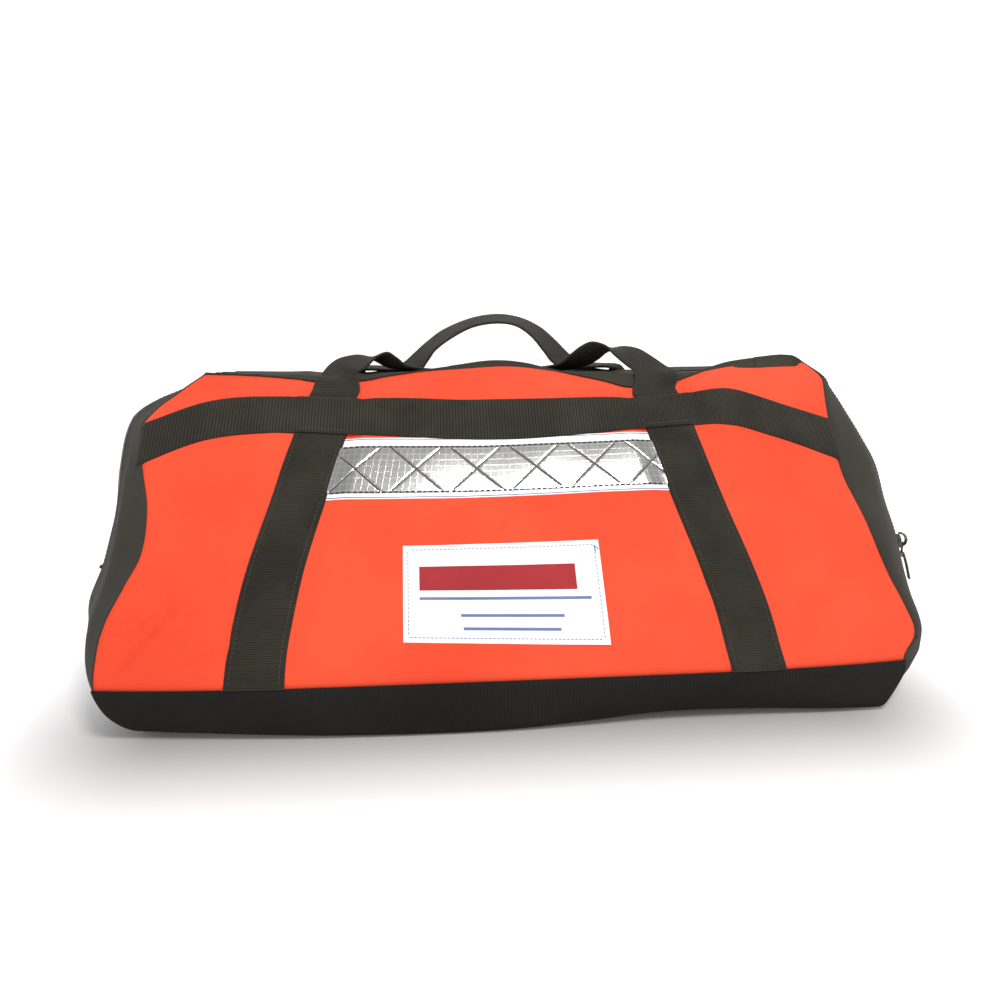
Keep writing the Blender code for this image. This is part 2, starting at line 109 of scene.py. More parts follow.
# Zip
ZIP_HALF = 13.0
ZIP_LEAN = 0.22            # how far in front of the ends' middle the zip runs, of their width
MARGIN = 0.03              # the fixed cloth between a top seam and its flap, of the top's width
TAPE = 0.6
TOOTH_PITCH = 2.0
FLAP_HALF_LENGTH = 288.0
ZIP_FOOT = 112.0           # the height of the zip's lower ends
TAPE_BASE = -CLOTH - 0.05 - TAPE
TOOTH_LIFT = -CLOTH + 0.55
TOOTH_RADIUS = 0.62
TOOTH_ROOT = 3.6           # a tooth's ends, from the zip line: each tooth reaches a little past it
TOOTH_TIP = -0.5
ZIP_STITCH = ZIP_HALF + 2.2

# Sizes that spread the weave map over surfaces laid out by shares
GUSSET_RUN, GUSSET_WIDTH = 220.0, 150.0
BASE_DEPTH, BASE_HALF_LENGTH = 400.0, 380.0
STRIP_HALF_LENGTH = 170.0


# ---------------------------------------------------------------- small maths

def smooth(t):
    t = np.clip(t, 0.0, 1.0)
    return t * t * (3.0 - 2.0 * t)


def mix(a, b, t):
    return a + (b - a) * t


def unit(vectors):
    return vectors / np.linalg.norm(vectors, axis=-1, keepdims=True)


def run_along(points):
    """The distance travelled from the first of a row of points to each of them."""
    return np.concatenate([[0.0], np.cumsum(np.linalg.norm(np.diff(points, axis=0), axis=1))])


def along_row(row, shares):
    """Both coordinates of a row of surface places, at shares counted in places."""
    row = np.array(row, float)
    return [np.interp(shares, np.arange(len(row)), row[:, k]) for k in (0, 1)]


def curve_through(points, at):
    """A smooth curve through (place, value) pairs: cubic Hermite with averaged slopes."""
    xs, ys = np.array(points, float).T
    slopes = np.gradient(ys, xs)
    at = np.clip(at, xs[0], xs[-1])
    i = np.clip(np.searchsorted(xs, at) - 1, 0, len(xs) - 2)
    h = xs[i + 1] - xs[i]
    t = (at - xs[i]) / h
    return ((2 * t ** 3 - 3 * t ** 2 + 1) * ys[i] + (t ** 3 - 2 * t ** 2 + t) * h * slopes[i]
            + (-2 * t ** 3 + 3 * t ** 2) * ys[i + 1] + (t ** 3 - t ** 2) * h * slopes[i + 1])


def waves(seed, x, y, length, terms=7):
    """Soft two-dimensional unevenness, about -1 to 1, with waves of roughly the given length."""
    rng = np.random.default_rng(seed)
    total = 0.0
    for _ in range(terms):
        turn = rng.uniform(0.0, math.pi)
        reach = length * rng.uniform(0.6, 1.7)
        phase = rng.uniform(0.0, 2.0 * math.pi)
        total = total + np.sin((x * math.cos(turn) + y * math.sin(turn)) * 2 * math.pi / reach + phase)
    return total / math.sqrt(terms) / 1.4


def fold(x, y, start, end, width):
    """The strength of a crease between two points: 1 on its line, fading to its sides and ends."""
    run = np.array(end, float) - np.array(start, float)
    length = float(np.hypot(*run))
    run = run / length
    dx, dy = x - start[0], y - start[1]
    along = (dx * run[0] + dy * run[1]) / length
    across = (-dx * run[1] + dy * run[0]) / width
    ends = np.sin(np.clip(along, 0.0, 1.0) * math.pi) ** 0.7
    return np.exp(-across ** 2) * ends


# ---------------------------------------------------------------- surfaces of the bag

class Wall:
    """A long side: a Bezier profile in Y and Z measured up from the base band, with soft relief.

    Its seams are wavy, while the gusset behind them keeps to plain lines: edge and top_line are the
    plain ones, dent and top_edge the seams. Each is a list of places and values.
    """

    def __init__(self, side, controls, edge, dent, corner, top_edge, top_line, tuck, relief):
        t = np.linspace(0.0, 1.0, 401)[:, None]
        a, b, c, d = (np.array(p, float) for p in controls)
        points = a * (1 - t) ** 3 + b * 3 * (1 - t) ** 2 * t + c * 3 * (1 - t) * t ** 2 + d * t ** 3
        self.points = points
        self.slope = unit(np.gradient(points, axis=0))
        self.run = run_along(points)
        self.length = self.run[-1]
        self.side, self.edge, self.dent, self.corner = side, edge, dent, corner
        self.top_edge, self.top_line, self.tuck, self.relief = top_edge, top_line, tuck, relief

    def profile(self, x, v):
        """Y, Z and the upward direction at a distance up the cloth."""
        y, z = (np.interp(v, self.run, self.points[:, k]) for k in (0, 1))
        uy, uz = (np.interp(v, self.run, self.slope[:, k]) for k in (0, 1))
        past = np.maximum(v - self.length, 0.0)
        height = BAND_HEIGHT + np.minimum(v, 0.0)
        radius = curve_through(self.tuck, x)
        into = np.clip(1.0 - height / radius, 0.0, 1.0)
        low = v < 0.0
        y = np.where(low, self.side * (HALF_DEPTH - radius * (1.0 - np.sqrt(1.0 - into ** 2))), y + uy * past)
        z = np.where(low, height, z + uz * past)
        upright = smooth(-v / 6.0)
        uy = mix(uy, self.side * into * 0.95, upright)
        uz = mix(uz, np.sqrt(1.0 - (0.95 * into) ** 2), upright)
        size = np.hypot(uy, uz)
        return y, z, uy / size, uz / size

    def at(self, x, v, off=0.0, wavy=True):
        """Points on the cloth, or off millimetres out of it."""
        x, v = np.broadcast_arrays(np.asarray(x, float), np.asarray(v, float))
        rise = curve_through(self.top_edge if wavy else self.top_line, x)
        y, z, uy, uz = self.profile(x, v + rise * smooth((v - 0.82 * self.length) / (0.18 * self.length)))
        bow = PLAN_BOW * (np.abs(x) / HALF_LENGTH) ** 4 * (1.0 - np.clip(v / self.length, 0.0, 1.0))
        out = off + self.relief(x, v)
        return np.stack([x, y + self.side * (uz * out - bow), z - self.side * uy * out], axis=-1)

    def half_width(self, end, v, wavy=True):
        """Half the cloth's length towards the left (-1) or right (1) end, with its top corner."""
        wide, tall, power = self.corner[end]
        into = np.clip((v - (self.length - tall)) / tall, 0.0, 1.0)
        turn = wide * (1.0 - (1.0 - into ** power) ** (1.0 / power))
        return curve_through(self.edge[end], v) - turn - wavy * curve_through(self.dent[end], v)

    def reach(self, share, v):
        """Half the cloth's length towards the end that the sign of share gives."""
        return np.where(share < 0, self.half_width(-1, v), self.half_width(1, v))

    def top_reach(self, end):
        """How far the straight part of the top seam runs from the middle."""
        return float(self.half_width(end, self.length, wavy=False))

    def outline(self, end, q, wavy=True):
        """The cloth's edge: q is 0-1 up the band, 1-2 up the side, 2-3 round the corner and 3-4 along
        the top to the middle. Returns x and v."""
        tall = self.corner[end][1]
        straight = self.length - tall
        v = np.where(q <= 1.0, BAND_HEIGHT * (q - 1.0), straight * np.clip(q - 1.0, 0.0, 1.0))
        v = v + tall * np.sin(np.clip(q - 2.0, 0.0, 1.0) * math.pi / 2.0)
        return end * self.half_width(end, v, wavy) * np.clip(4.0 - q, 0.0, 1.0), v


# Creases in the front cloth: start and end (x, v), width and depth
FRONT_FOLDS = (
    ((-352, 150), (-290, 40), 13, 2.6), ((-330, 190), (-262, 92), 16, 1.8),
    ((-362, 2), (-298, 84), 8, 5.5), ((-280, 14), (-228, 58), 7, 3.0),
    ((-345, 60), (-270, 20), 10, 1.6), ((285, 30), (352, 120), 15, 2.0),
    ((150, 55), (196, 92), 10, 1.3), ((300, 130), (352, 215), 16, 1.8),
    ((-150, 12), (-60, 24), 9, 1.0), ((40, 14), (140, 26), 10, 1.0),
    ((-340, 290), (-270, 330), 10, 1.6), ((262, 330), (338, 300), 9, 1.6),
)
BACK_FOLDS = (
    ((-340, 60), (-280, 150), 15, 2.2), ((300, 40), (350, 140), 14, 2.2),
    ((-90, 20), (40, 34), 12, 1.4), ((80, 150), (180, 120), 18, 1.5),
)


def strap_x(v, side):
    """How far out a carry strap's middle runs, by the height up the cloth; side has the end's sign."""
    drift = np.where(np.asarray(side) < 0, *(curve_through(STRAP_DRIFT[end], v) for end in (-1, 1)))
    return STRAP_FOOT_X - STRAP_LEAN * v + drift


def cloth_relief(folds, seed):
    """Relief of a panel: seams turned in, straps pressed in, soft waves and creases."""
    def relief(x, v):
        body = smooth((v + 4.0) / 30.0)
        rise = 1.6 * waves(seed, x, v, 260.0) + 0.5 * waves(seed + 1, x, v, 90.0)
        for start, end, width, depth in folds:
            rise = rise - depth * fold(x, v, start, end, width)
        strap = 1.0 - smooth((np.abs(np.abs(x) - strap_x(v, x)) - 0.5 * WEB_WIDTH) / 22.0)
        return body * (rise - 2.4 * strap)
    return relief


# The top seam of the front panel isn't straight: it sinks where the handles pull on it
FRONT_TOP_EDGE = ((-360, -8), (-303, -7), (-245, -12), (-195, -18), (-144, -18), (-80, -6), (-38, 2),
                  (-3, 7), (32, 4), (53, -2), (100, -17), (136, -28), (207, -15), (246, 3), (294, 13),
                  (331, 15), (353, 6))
FRONT_TOP_LINE = ((-370, -9), (-300, -11), (-200, -11), (-60, -7), (60, -7), (200, -9), (300, -3), (370, -3))
BACK_TOP_EDGE = ((-370, -14), (-200, -16), (0, -9), (200, -12), (300, -6), (370, -8))

# The panels' side edges by the height up the cloth, and how far the wavy seams cut in from them
EDGE_LEFT = ((-50, 332), (-22, 358), (0, 370), (30, 373), (90, 362), (150, 357), (200, 356), (262, 355),
             (345, 354))
EDGE_RIGHT = ((-50, 352), (-28, 366), (0, 379), (20, 386), (50, 378), (85, 369), (240, 366), (300, 360),
              (345, 357))
EDGE_BACK = ((-50, 350), (-20, 364), (0, 368), (100, 370), (305, 366))
DENT_LEFT = ((-50, 0), (-8, 4), (27, 8), (72, 11), (90, 15), (123, 23), (167, 21), (216, 9), (262, 2),
             (290, 0))
DENT_RIGHT = ((-12, 2), (4, 8), (18, 1), (82, 0), (135, 4), (191, 18), (212, 20), (258, 15), (312, 0))
DENT_BACK = ((-50, 0), (0, 0), (150, 9), (305, 0))
# The radius of the turn under the bag at the foot of each side
FRONT_TUCK = ((-370, 36), (-300, 30), (-150, 10), (0, 8), (80, 24), (130, 36), (230, 34), (310, 18), (370, 8))
BACK_TUCK = ((-370, 14), (0, 10), (200, 20), (370, 12))

FRONT = Wall(-1, ((-HALF_DEPTH, BAND_HEIGHT), (-HALF_DEPTH + 46, BAND_HEIGHT + 100),
                  (TOP_FRONT - 69, TOP_HEIGHT - 58), (TOP_FRONT, TOP_HEIGHT)),
             {-1: EDGE_LEFT, 1: EDGE_RIGHT}, {-1: DENT_LEFT, 1: DENT_RIGHT},
             {-1: (54, 76, 1.08), 1: (26, 30, 2.0)}, FRONT_TOP_EDGE, FRONT_TOP_LINE, FRONT_TUCK,
             cloth_relief(FRONT_FOLDS, 3))
BACK = Wall(1, ((HALF_DEPTH, BAND_HEIGHT), (HALF_DEPTH - 2, BAND_HEIGHT + 100),
                (TOP_BACK + 60, TOP_HEIGHT - 30), (TOP_BACK, TOP_HEIGHT)),
            {-1: EDGE_BACK, 1: EDGE_BACK}, {-1: DENT_BACK, 1: DENT_BACK},
            {-1: (60, 72, 1.4), 1: (44, 52, 1.8)}, BACK_TOP_EDGE, BACK_TOP_EDGE, BACK_TUCK,
            cloth_relief(BACK_FOLDS, 11))
FRONT.waist = WAIST_LOW
BACK.waist = BACK.length - (FRONT.length - WAIST_LOW)


def bulge(end, q, x, v):
    """How far the black gusset stands out where it stands out most."""
    top = mix(TOP_SAG, TOP_CROWN, smooth((np.abs(x) - 150.0) / 80.0))
    return mix(curve_through(END_BULGE[end], v), top, smooth(q - 2.0))


def unevenness(end, q, s):
    """How far soft waves lift the gusset, fading out at its seams, its foot and the flaps."""
    along, over = q * 210.0, s * 300.0             # about millimetres
    rough = 2.0 * waves(21 + end, along, over, 150.0) + 0.7 * waves(31 + end, along, over, 60.0)
    return rough * smooth(np.minimum(s, 1.0 - s) * 6.0) * smooth(q / 0.7) * smooth(3.6 - q)


def gusset_cloth(end, q, s):
    """Points on the gusset's cloth: bulging between plain lines, and drawn to the wavy seams."""
    seams = [wall.at(*wall.outline(end, q)) for wall in (FRONT, BACK)]
    x, v = FRONT.outline(end, q, wavy=False)
    front = FRONT.at(x, v, wavy=False)
    back = BACK.at(*BACK.outline(end, q, wavy=False), wavy=False)
    turn = (np.clip(q - 2.0, 0.0, 1.0) * math.pi / 2.0)[..., None]
    out = np.concatenate([end * np.cos(turn), 0 * turn, np.sin(turn)], axis=-1)
    upper = smooth(q - 2.0)
    lift = bulge(end, q, x, v) * np.sin(math.pi * np.clip(s, 0, 1) ** mix(BELLY[end], 1.0, upper))
    lift = lift + unevenness(end, q, s)
    width = np.linalg.norm(back - front, axis=-1)
    from_zip = (s - zip_share(q)) * width / ZIP_RIDGE_WIDTH
    lift = lift + ZIP_RIDGE * np.exp(-from_zip ** 2) * smooth((q - 0.9) / 0.4) * (1.0 - upper)
    reach = mix(SEAM_BLEND, MARGIN * TOP_BACK, upper)
    to_front = (1.0 - smooth(s * width / reach))[..., None]
    to_back = (1.0 - smooth((1.0 - s) * width / reach))[..., None]
    place = front + (back - front) * s[..., None] + out * lift[..., None]
    return place + (seams[0] - front) * to_front + (seams[1] - back) * to_back


def gusset(end, q, s, off=0.0):
    """Points off millimetres out of the gusset; s runs from the front seam to the back seam."""
    q, s = np.broadcast_arrays(np.asarray(q, float), np.asarray(s, float))
    step = 0.01
    along = gusset_cloth(end, q + step, s) - gusset_cloth(end, q - step, s)
    across = gusset_cloth(end, q, s + step) - gusset_cloth(end, q, s - step)
    out = unit(np.cross(across, along) * end)
    return gusset_cloth(end, q, s) + out * np.asarray(off)[..., None]


def gusset_width(end, q):
    """The distance from the front seam to the back seam."""
    front, back = (wall.at(*wall.outline(end, q, wavy=False), wavy=False) for wall in (FRONT, BACK))
    return np.linalg.norm(back - front, axis=-1)


def zip_share(q):
    """Where the zip runs between the front seam (0) and the back seam (1)."""
    return 0.5 - ZIP_LEAN * smooth((3.0 - q) / 1.3)


def by_reach(end, q, reach, off=0.0):
    """Points of the gusset by their distance from the zip line, towards the back."""
    return gusset(end, q, zip_share(q) + reach / gusset_width(end, q), off)


def q_at_x(end, x):
    """The outline value of a place along the top."""
    return 4.0 - np.abs(x) / FRONT.top_reach(end)


def q_at_height(end, height):
    """The outline value where the zip line reaches a height on an end panel."""
    qs = np.linspace(0.4, 3.0, 400)
    return float(np.interp(height, gusset(end, qs, zip_share(qs))[:, 2], qs))


# ---------------------------------------------------------------- meshes

def link(name, data):
    """An object in the scene for a mesh, a lamp or a camera."""
    made = bpy.data.objects.new(name, data)
    bpy.context.scene.collection.objects.link(made)
    return made


def make_piece(name, verts, faces, material, uv=None):
    """A mesh object from points in millimetres, with its weave map in metres."""
    mesh = bpy.data.meshes.new(name)
    mesh.from_pydata((np.asarray(verts).reshape(-1, 3) * MM).tolist(), [], faces)
    if uv is not None:
        loops = np.zeros(len(mesh.loops), np.int32)
        mesh.loops.foreach_get("vertex_index", loops)
        layer = mesh.uv_layers.new(name="weave")
        layer.data.foreach_set("uv", (np.asarray(uv).reshape(-1, 2) * MM)[loops].ravel())
    mesh.validate()
    mesh.update()
    mesh.shade_smooth()
    mesh.set_sharp_from_angle(angle=math.radians(50.0))
    mesh.materials.append(material)
    return link(name, mesh)


def settle(piece, body, slot, replaces=(), bend=None):
    """Give a piece its body, or with bend only bake its place into its mesh, and hide the CAD nodes it stands
    for. The slot is not used.
    """
    if bend:
        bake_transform(piece)
    else:
        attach(piece, body)
    if replaces:
        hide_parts(*replaces)
    return piece


def closed_grid(top, low, hole=None):
    """Points and faces of the solid between two grids of points, without the cells of the hole.

    A cell gets a wall on each side where no kept cell lies next to it.
    """
    rows, cols = top.shape[:2]
    index = np.arange(rows * cols).reshape(rows, cols)
    kept = np.ones((rows + 1, cols + 1), bool)
    kept[[0, -1]] = kept[:, [0, -1]] = False
    kept[1:-1, 1:-1] = True if hole is None else ~hole
    cells = np.stack([index[:-1, :-1], index[1:, :-1], index[1:, 1:], index[:-1, 1:]], -1)
    upper = cells[kept[1:-1, 1:-1]]
    walls = []
    for (i, j), (a, b) in (((0, -1), (0, 1)), ((1, 0), (1, 2)), ((0, 1), (2, 3)), ((-1, 0), (3, 0))):
        open_side = kept[1:-1, 1:-1] & ~kept[1 + i:rows + i, 1 + j:cols + j]
        edge = cells[open_side]
        walls.append(np.stack([edge[:, b], edge[:, a], edge[:, a] + rows * cols,
                               edge[:, b] + rows * cols], -1))
    faces = np.concatenate([upper, upper[:, ::-1] + rows * cols] + walls)
    i, j = rows // 2, cols // 2
    cross = np.cross(top[i, j] - top[i - 1, j], top[i, j] - top[i, j - 1])
    if np.dot(cross, top[i, j] - low[i, j]) < 0.0:
        faces = faces[:, ::-1]
    return np.concatenate([top.reshape(-1, 3), low.reshape(-1, 3)]), faces.tolist()


def sheet(name, rows, cols, place, thick, material, base=0.0, uv=None, hole=None):
    """A closed sheet over a grid: place(rows, cols, off) gives its points."""
    r, c = np.meshgrid(rows, cols, indexing="ij")
    lift = base(r, c) if callable(base) else base
    depth = thick(r, c) if callable(thick) else thick
    top, low = place(r, c, lift + depth + 0.0 * r), place(r, c, lift + 0.0 * r)
    verts, faces = closed_grid(top, low, hole(r, c)[:-1, :-1] if hole else None)
    pair = np.stack(uv(r, c) if uv else (r, c), -1).reshape(-1, 2)
    return make_piece(name, verts, faces, material, np.concatenate([pair, pair]))


SELVAGE = np.array([-1, -0.975, -0.93, -0.86, -0.6, -0.3, 0, 0.3, 0.6, 0.86, 0.93, 0.975, 1])


def webbing(name, run, place, material, half=WEB_WIDTH / 2, pitch=RIB_PITCH, rib=RIB, base=0.0,
            two_sided=False):
    """Ribbed webbing: ribs across its width at a pitch along its run, and thin selvages."""
    count = int(round((run[1] - run[0]) / pitch))

    def ribs_before(length):
        return (length - run[0]) / (run[1] - run[0]) * count

    def thick(length, width):
        inside = 1.0 - np.abs(width) / half
        ridge = np.abs(np.sin(ribs_before(length) * math.pi)) ** 0.7
        plain = WEB * mix(0.35, 1.0, np.clip(inside / 0.07, 0.0, 1.0) ** 0.5)
        return plain + rib * ridge * smooth(inside / 0.1)

    def both_sides(length, width):
        return 2.0 * thick(length, width)

    def under(length, width):
        return -thick(length, width)

    return sheet(name, np.linspace(run[0], run[1], count * 4 + 1), SELVAGE * half, place,
                 both_sides if two_sided else thick, material, base=under if two_sided else base,
                 uv=lambda length, width: (ribs_before(length) * RIB_PITCH, width))


CAPSULE_RINGS = ((0.0, 0.25), (0.12, 0.85), (0.5, 1.0), (0.88, 0.85), (1.0, 0.25))    # place, thickness
CAPSULE_SIDES = 6


def capsules(name, place, starts, ends, radius, material, lift=0.0, arch=0.0):
    """Many short rods, such as stitches or zip teeth, from start to end places on a surface."""
    starts, ends = np.asarray(starts, float), np.asarray(ends, float)
    share, thickness = np.array(CAPSULE_RINGS).T
    a = starts[:, None, 0] + (ends - starts)[:, None, 0] * share
    b = starts[:, None, 1] + (ends - starts)[:, None, 1] * share
    rise = lift + arch * np.sin(share * math.pi) + 0 * a
    centre = place(a, b, rise)
    normal = unit(place(a, b, rise + 1.0) - centre)
    across = unit(np.cross(centre[:, -1:] - centre[:, :1], normal))
    turn = np.arange(CAPSULE_SIDES) * math.pi / 3.0
    ring = (across[:, :, None] * np.cos(turn)[None, None, :, None]
            + normal[:, :, None] * np.sin(turn)[None, None, :, None])
    ring = ring * (radius * thickness)[None, :, None, None]
    faces = []
    size = len(CAPSULE_RINGS) * CAPSULE_SIDES
    for home in range(0, len(starts) * size, size):
        for here in range(home, home + size - CAPSULE_SIDES, CAPSULE_SIDES):
            there = here + CAPSULE_SIDES
            for j in range(CAPSULE_SIDES):
                n = (j + 1) % CAPSULE_SIDES
                faces.append((there + j, there + n, here + n, here + j))
        faces.append(tuple(range(home, home + CAPSULE_SIDES)))
        faces.append(tuple(reversed(range(home + size - CAPSULE_SIDES, home + size))))
    return make_piece(name, centre[:, :, None] + ring, faces, material)


def stitch_ends(place, rows, length, gap):
    """Starts and ends of stitches along rows of surface places."""
    starts, ends = [], []
    for row in rows:
        a, b = along_row(row, np.linspace(0, len(row) - 1, 60 * (len(row) - 1) + 1))
        run = run_along(place(a, b, 0.0 * a))
        at = np.arange(gap, run[-1] - length, length + gap)
        for on_run, out in ((at, starts), (at + length, ends)):
            out.extend(zip(np.interp(on_run, run, a), np.interp(on_run, run, b)))
    return starts, ends


def stitches(name, place, rows, material, length=3.0, gap=1.4, radius=0.36, lift=0.0):
    """Rows of stitches of a length, with gaps between them, each a little arched."""
    starts, ends = stitch_ends(place, rows, length, gap)
    return capsules(name, place, starts, ends, radius, material, lift=lift, arch=0.12)


# ---------------------------------------------------------------- materials

FILM_CELL = 0.0066         # metres, as every shader value is


class Nodes:
    """A material, with short ways to add its shader nodes and link them."""

    def __init__(self, name):
        self.material = bpy.data.materials.new(name)
        self.material.use_nodes = True
        self.tree = self.material.node_tree
        self.shader = self.tree.nodes["Principled BSDF"]

    def feed(self, socket, value):
        """Link another node's output to a socket, or set the socket's own value."""
        if hasattr(value, "is_output"):
            self.tree.links.new(value, socket)
        else:
            socket.default_value = value

    def add(self, kind, settings=None, **inputs):
        node = self.tree.nodes.new(kind)
        for key, value in (settings or {}).items():
            setattr(node, key, value)
        for key, value in inputs.items():
            self.feed(node.inputs[key.replace("_", " ")], value)
        return node

    def math(self, operation, *values, kind="ShaderNodeMath"):
        node = self.add(kind, {"operation": operation})
        for socket, value in zip(node.inputs, values):
            self.feed(socket, value)
        return node.outputs[0]

    def vector(self, operation, *values):
        return self.math(operation, *values, kind="ShaderNodeVectorMath")

    def place(self):
        return self.add("ShaderNodeTexCoord").outputs["Object"]

    def weave_map(self):
        return self.add("ShaderNodeUVMap", {"uv_map": "weave"}).outputs["UV"]

    def weave_waves(self, kind, pitch):
        """A sine or cosine of the given pitch along each of the weave map's directions."""
        split = self.add("ShaderNodeSeparateXYZ", Vector=self.weave_map())
        turns = 2.0 * math.pi / pitch
        return [self.math(kind, self.math("MULTIPLY", split.outputs[axis], turns)) for axis in "XY"]

    def noise(self, scale, detail, **inputs):
        node = self.add("ShaderNodeTexNoise", Vector=self.place(), Scale=scale, Detail=detail, **inputs)
        return node.outputs["Fac"]

    def ramp(self, value, low, high, to_low=0.0, to_high=1.0, **settings):
        node = self.add("ShaderNodeMapRange", settings, Value=value, From_Min=low, From_Max=high,
                        To_Min=to_low, To_Max=to_high)
        return node.outputs["Result"]

    def between(self, dark, light, share):
        """The colour at a share of the way from dark to light."""
        node = self.add("ShaderNodeMix", {"data_type": "RGBA"}, Factor=share)
        for socket in node.inputs:
            if socket.type == "RGBA":
                socket.default_value = dark if socket.name == "A" else light
        return next(out for out in node.outputs if out.type == "RGBA")

    def bump(self, height, strength, distance):
        node = self.add("ShaderNodeBump", Height=height, Strength=strength, Distance=distance)
        self.shade(Normal=node.outputs["Normal"])

    def shade(self, **inputs):
        for key, value in inputs.items():
            self.feed(self.shader.inputs[key.replace("_", " ")], value)


def linear(*srgb):
    """A colour given as sRGB 0-255, as linear values."""
    return tuple((c / 255 / 12.92) if c <= 10 else ((c / 255 + 0.055) / 1.055) ** 2.4 for c in srgb) + (1.0,)


def blotched(n, dark, light, scale, low=0.35, high=0.65):
    """A colour that drifts between two shades in soft patches."""
    return n.between(dark, light, n.ramp(n.noise(scale, 4.0, Roughness=0.55), low, high))


def weave_height(n, pitch):
    """Plain weave: threads along and across, in turn above and below each other."""
    return n.math("MULTIPLY", *n.weave_waves("SINE", pitch))


def painted_rib_shade(n, contrast):
    """Painted shade between the ribs of a webbing and painted light along them."""
    wave = n.weave_waves("SINE", 2.0 * RIB_PITCH * MM)[0]
    return n.ramp(n.math("ABSOLUTE", wave), 0.1, 1.0, 1.0 - contrast, 1.0 + contrast)


def cloth(name, dark, light, pitch, relief, roughness, sheen, patch=9.0, ribs=0.0):
    """Woven coated fabric, or ribbed webbing."""
    n = Nodes(name)
    weave = weave_height(n, pitch)
    # Painted shade: the colour is made darker where the weave's threads dip under each other
    tone = n.ramp(weave, -1.0, 1.0, 0.9, 1.0)
    # ribs sets the strength of the painted shade between the ribs and the painted light along them
    if ribs:
        tone = n.math("MULTIPLY", tone, painted_rib_shade(n, ribs))
    toned = n.add("ShaderNodeVectorMath", {"operation": "SCALE"}, Vector=blotched(n, dark, light, patch),
                  Scale=tone)
    grain = n.math("MULTIPLY", n.noise(900.0, 2.0), 0.8)
    n.bump(n.math("ADD", n.math("MULTIPLY", weave, 0.6), grain), relief, 0.0004)
    n.shade(Base_Color=toned.outputs["Vector"], Roughness=roughness, Sheen_Weight=sheen,
            Sheen_Roughness=0.5, Specular_IOR_Level=0.25)
    return n.material


def thread(name, colour, roughness=0.55):
    """Twisted thread, and other fine plain things."""
    n = Nodes(name)
    twist = n.add("ShaderNodeTexWave", {"bands_direction": "DIAGONAL"}, Vector=n.place(), Scale=700.0)
    n.bump(twist.outputs["Fac"], 0.3, 0.0002)
    n.shade(Base_Color=colour, Roughness=roughness)
    return n.material


def metal(name, dark, light, roughness):
    """Dark plating, worn lighter in patches."""
    n = Nodes(name)
    n.bump(n.noise(1500.0, 3.0), 0.2, 0.0001)
    n.shade(Base_Color=blotched(n, dark, light, 260.0, 0.45, 0.7), Metallic=1.0, Roughness=roughness)
    return n.material


def prismatic(name):
    """Silver prismatic film: square cells of slightly different tone, with bright lines between them."""
    n = Nodes(name)
    cell = n.vector("SNAP", n.weave_map(), (FILM_CELL, FILM_CELL, 1.0))
    tone = n.add("ShaderNodeTexWhiteNoise", {"noise_dimensions": "2D"}, Vector=cell).outputs["Value"]
    edge = n.ramp(n.math("MAXIMUM", *n.weave_waves("COSINE", FILM_CELL)), 0.8, 1.0)
    share = n.math("ADD", n.math("MULTIPLY", tone, 0.1), n.math("MULTIPLY", edge, 0.3))
    n.bump(n.math("ADD", tone, edge), 0.12, 0.0003)
    n.shade(Base_Color=n.between(linear(176, 176, 174), linear(236, 236, 244), share), Metallic=0.85,
            Roughness=0.2, Coat_Weight=0.5, Coat_Roughness=0.05)
    return n.material


RED = cloth("red_cloth", linear(226, 68, 36), linear(238, 78, 45), 0.0011, 0.5, 0.6, 0.04)
BLACK = cloth("black_cloth", linear(40, 37, 30), linear(52, 48, 38), 0.0013, 0.7, 0.75, 0.04)
# The black of the band and the bottom: darker than the other black cloth, partly its own colour and partly
# painted shade for the band's face turned down from the light
BASE_BLACK_AND_SHADE = cloth("base_cloth_and_shade", linear(15, 14, 12), linear(24, 23, 19), 0.0013, 0.7, 0.8, 0.01, ribs=0.3)
WEBBING = cloth("webbing_cloth", linear(34, 31, 25), linear(46, 43, 34), 0.0009, 0.8, 0.7, 0.03, 24.0,
                ribs=0.7)
TAPE_CLOTH = cloth("zip_tape_cloth", linear(20, 19, 16), linear(28, 26, 22), 0.0008, 0.6, 0.8, 0.02)
WHITE_VINYL = cloth("white_vinyl", linear(226, 228, 236), linear(240, 240, 244), 0.0007, 0.12, 0.3, 0.0)
LABEL_CLOTH = cloth("label_cloth", linear(222, 227, 238), linear(236, 239, 246), 0.0005, 0.25, 0.5, 0.05)
LABEL_RED = cloth("label_band", linear(146, 26, 34), linear(162, 32, 40), 0.0005, 0.25, 0.5, 0.05)
LABEL_BLUE = cloth("label_rule", linear(96, 108, 150), linear(110, 122, 162), 0.0005, 0.25, 0.5, 0.05)
FILM = prismatic("prismatic_film")
BLACK_THREAD = thread("black_thread", linear(22, 21, 19))
NAVY_THREAD = thread("navy_thread", linear(38, 52, 120))
WEB_THREAD = thread("webbing_thread", linear(60, 57, 49))
GROOVE = thread("pressed_line", linear(24, 24, 30), 0.5)
BOARD = cloth("stiffener_board", linear(54, 54, 54), linear(64, 64, 64), 0.0016, 0.2, 0.7, 0.0)
TEETH = thread("nylon_teeth", linear(26, 25, 23), 0.35)
DARK_METAL = metal("dark_metal", linear(70, 66, 60), linear(150, 144, 134), 0.34)


# ---------------------------------------------------------------- cloth of the body

def panel_place(wall):
    """The cloth of a long side by height and share of its length, rolled in along its seams."""
    def place(v, u, off):
        half = wall.reach(u, v)
        to_edge = np.minimum(np.minimum((1.0 - np.abs(u)) * half, v), wall.length - v)
        roll = SEAM_DIP * (1.0 - np.clip(to_edge / SEAM_REACH, 0.0, 1.0)) ** 2
        return wall.at(u * half, v, off - roll)
    return place


PANEL_TOP = 92.0           # the height of a panel's finer rows, round its top corners


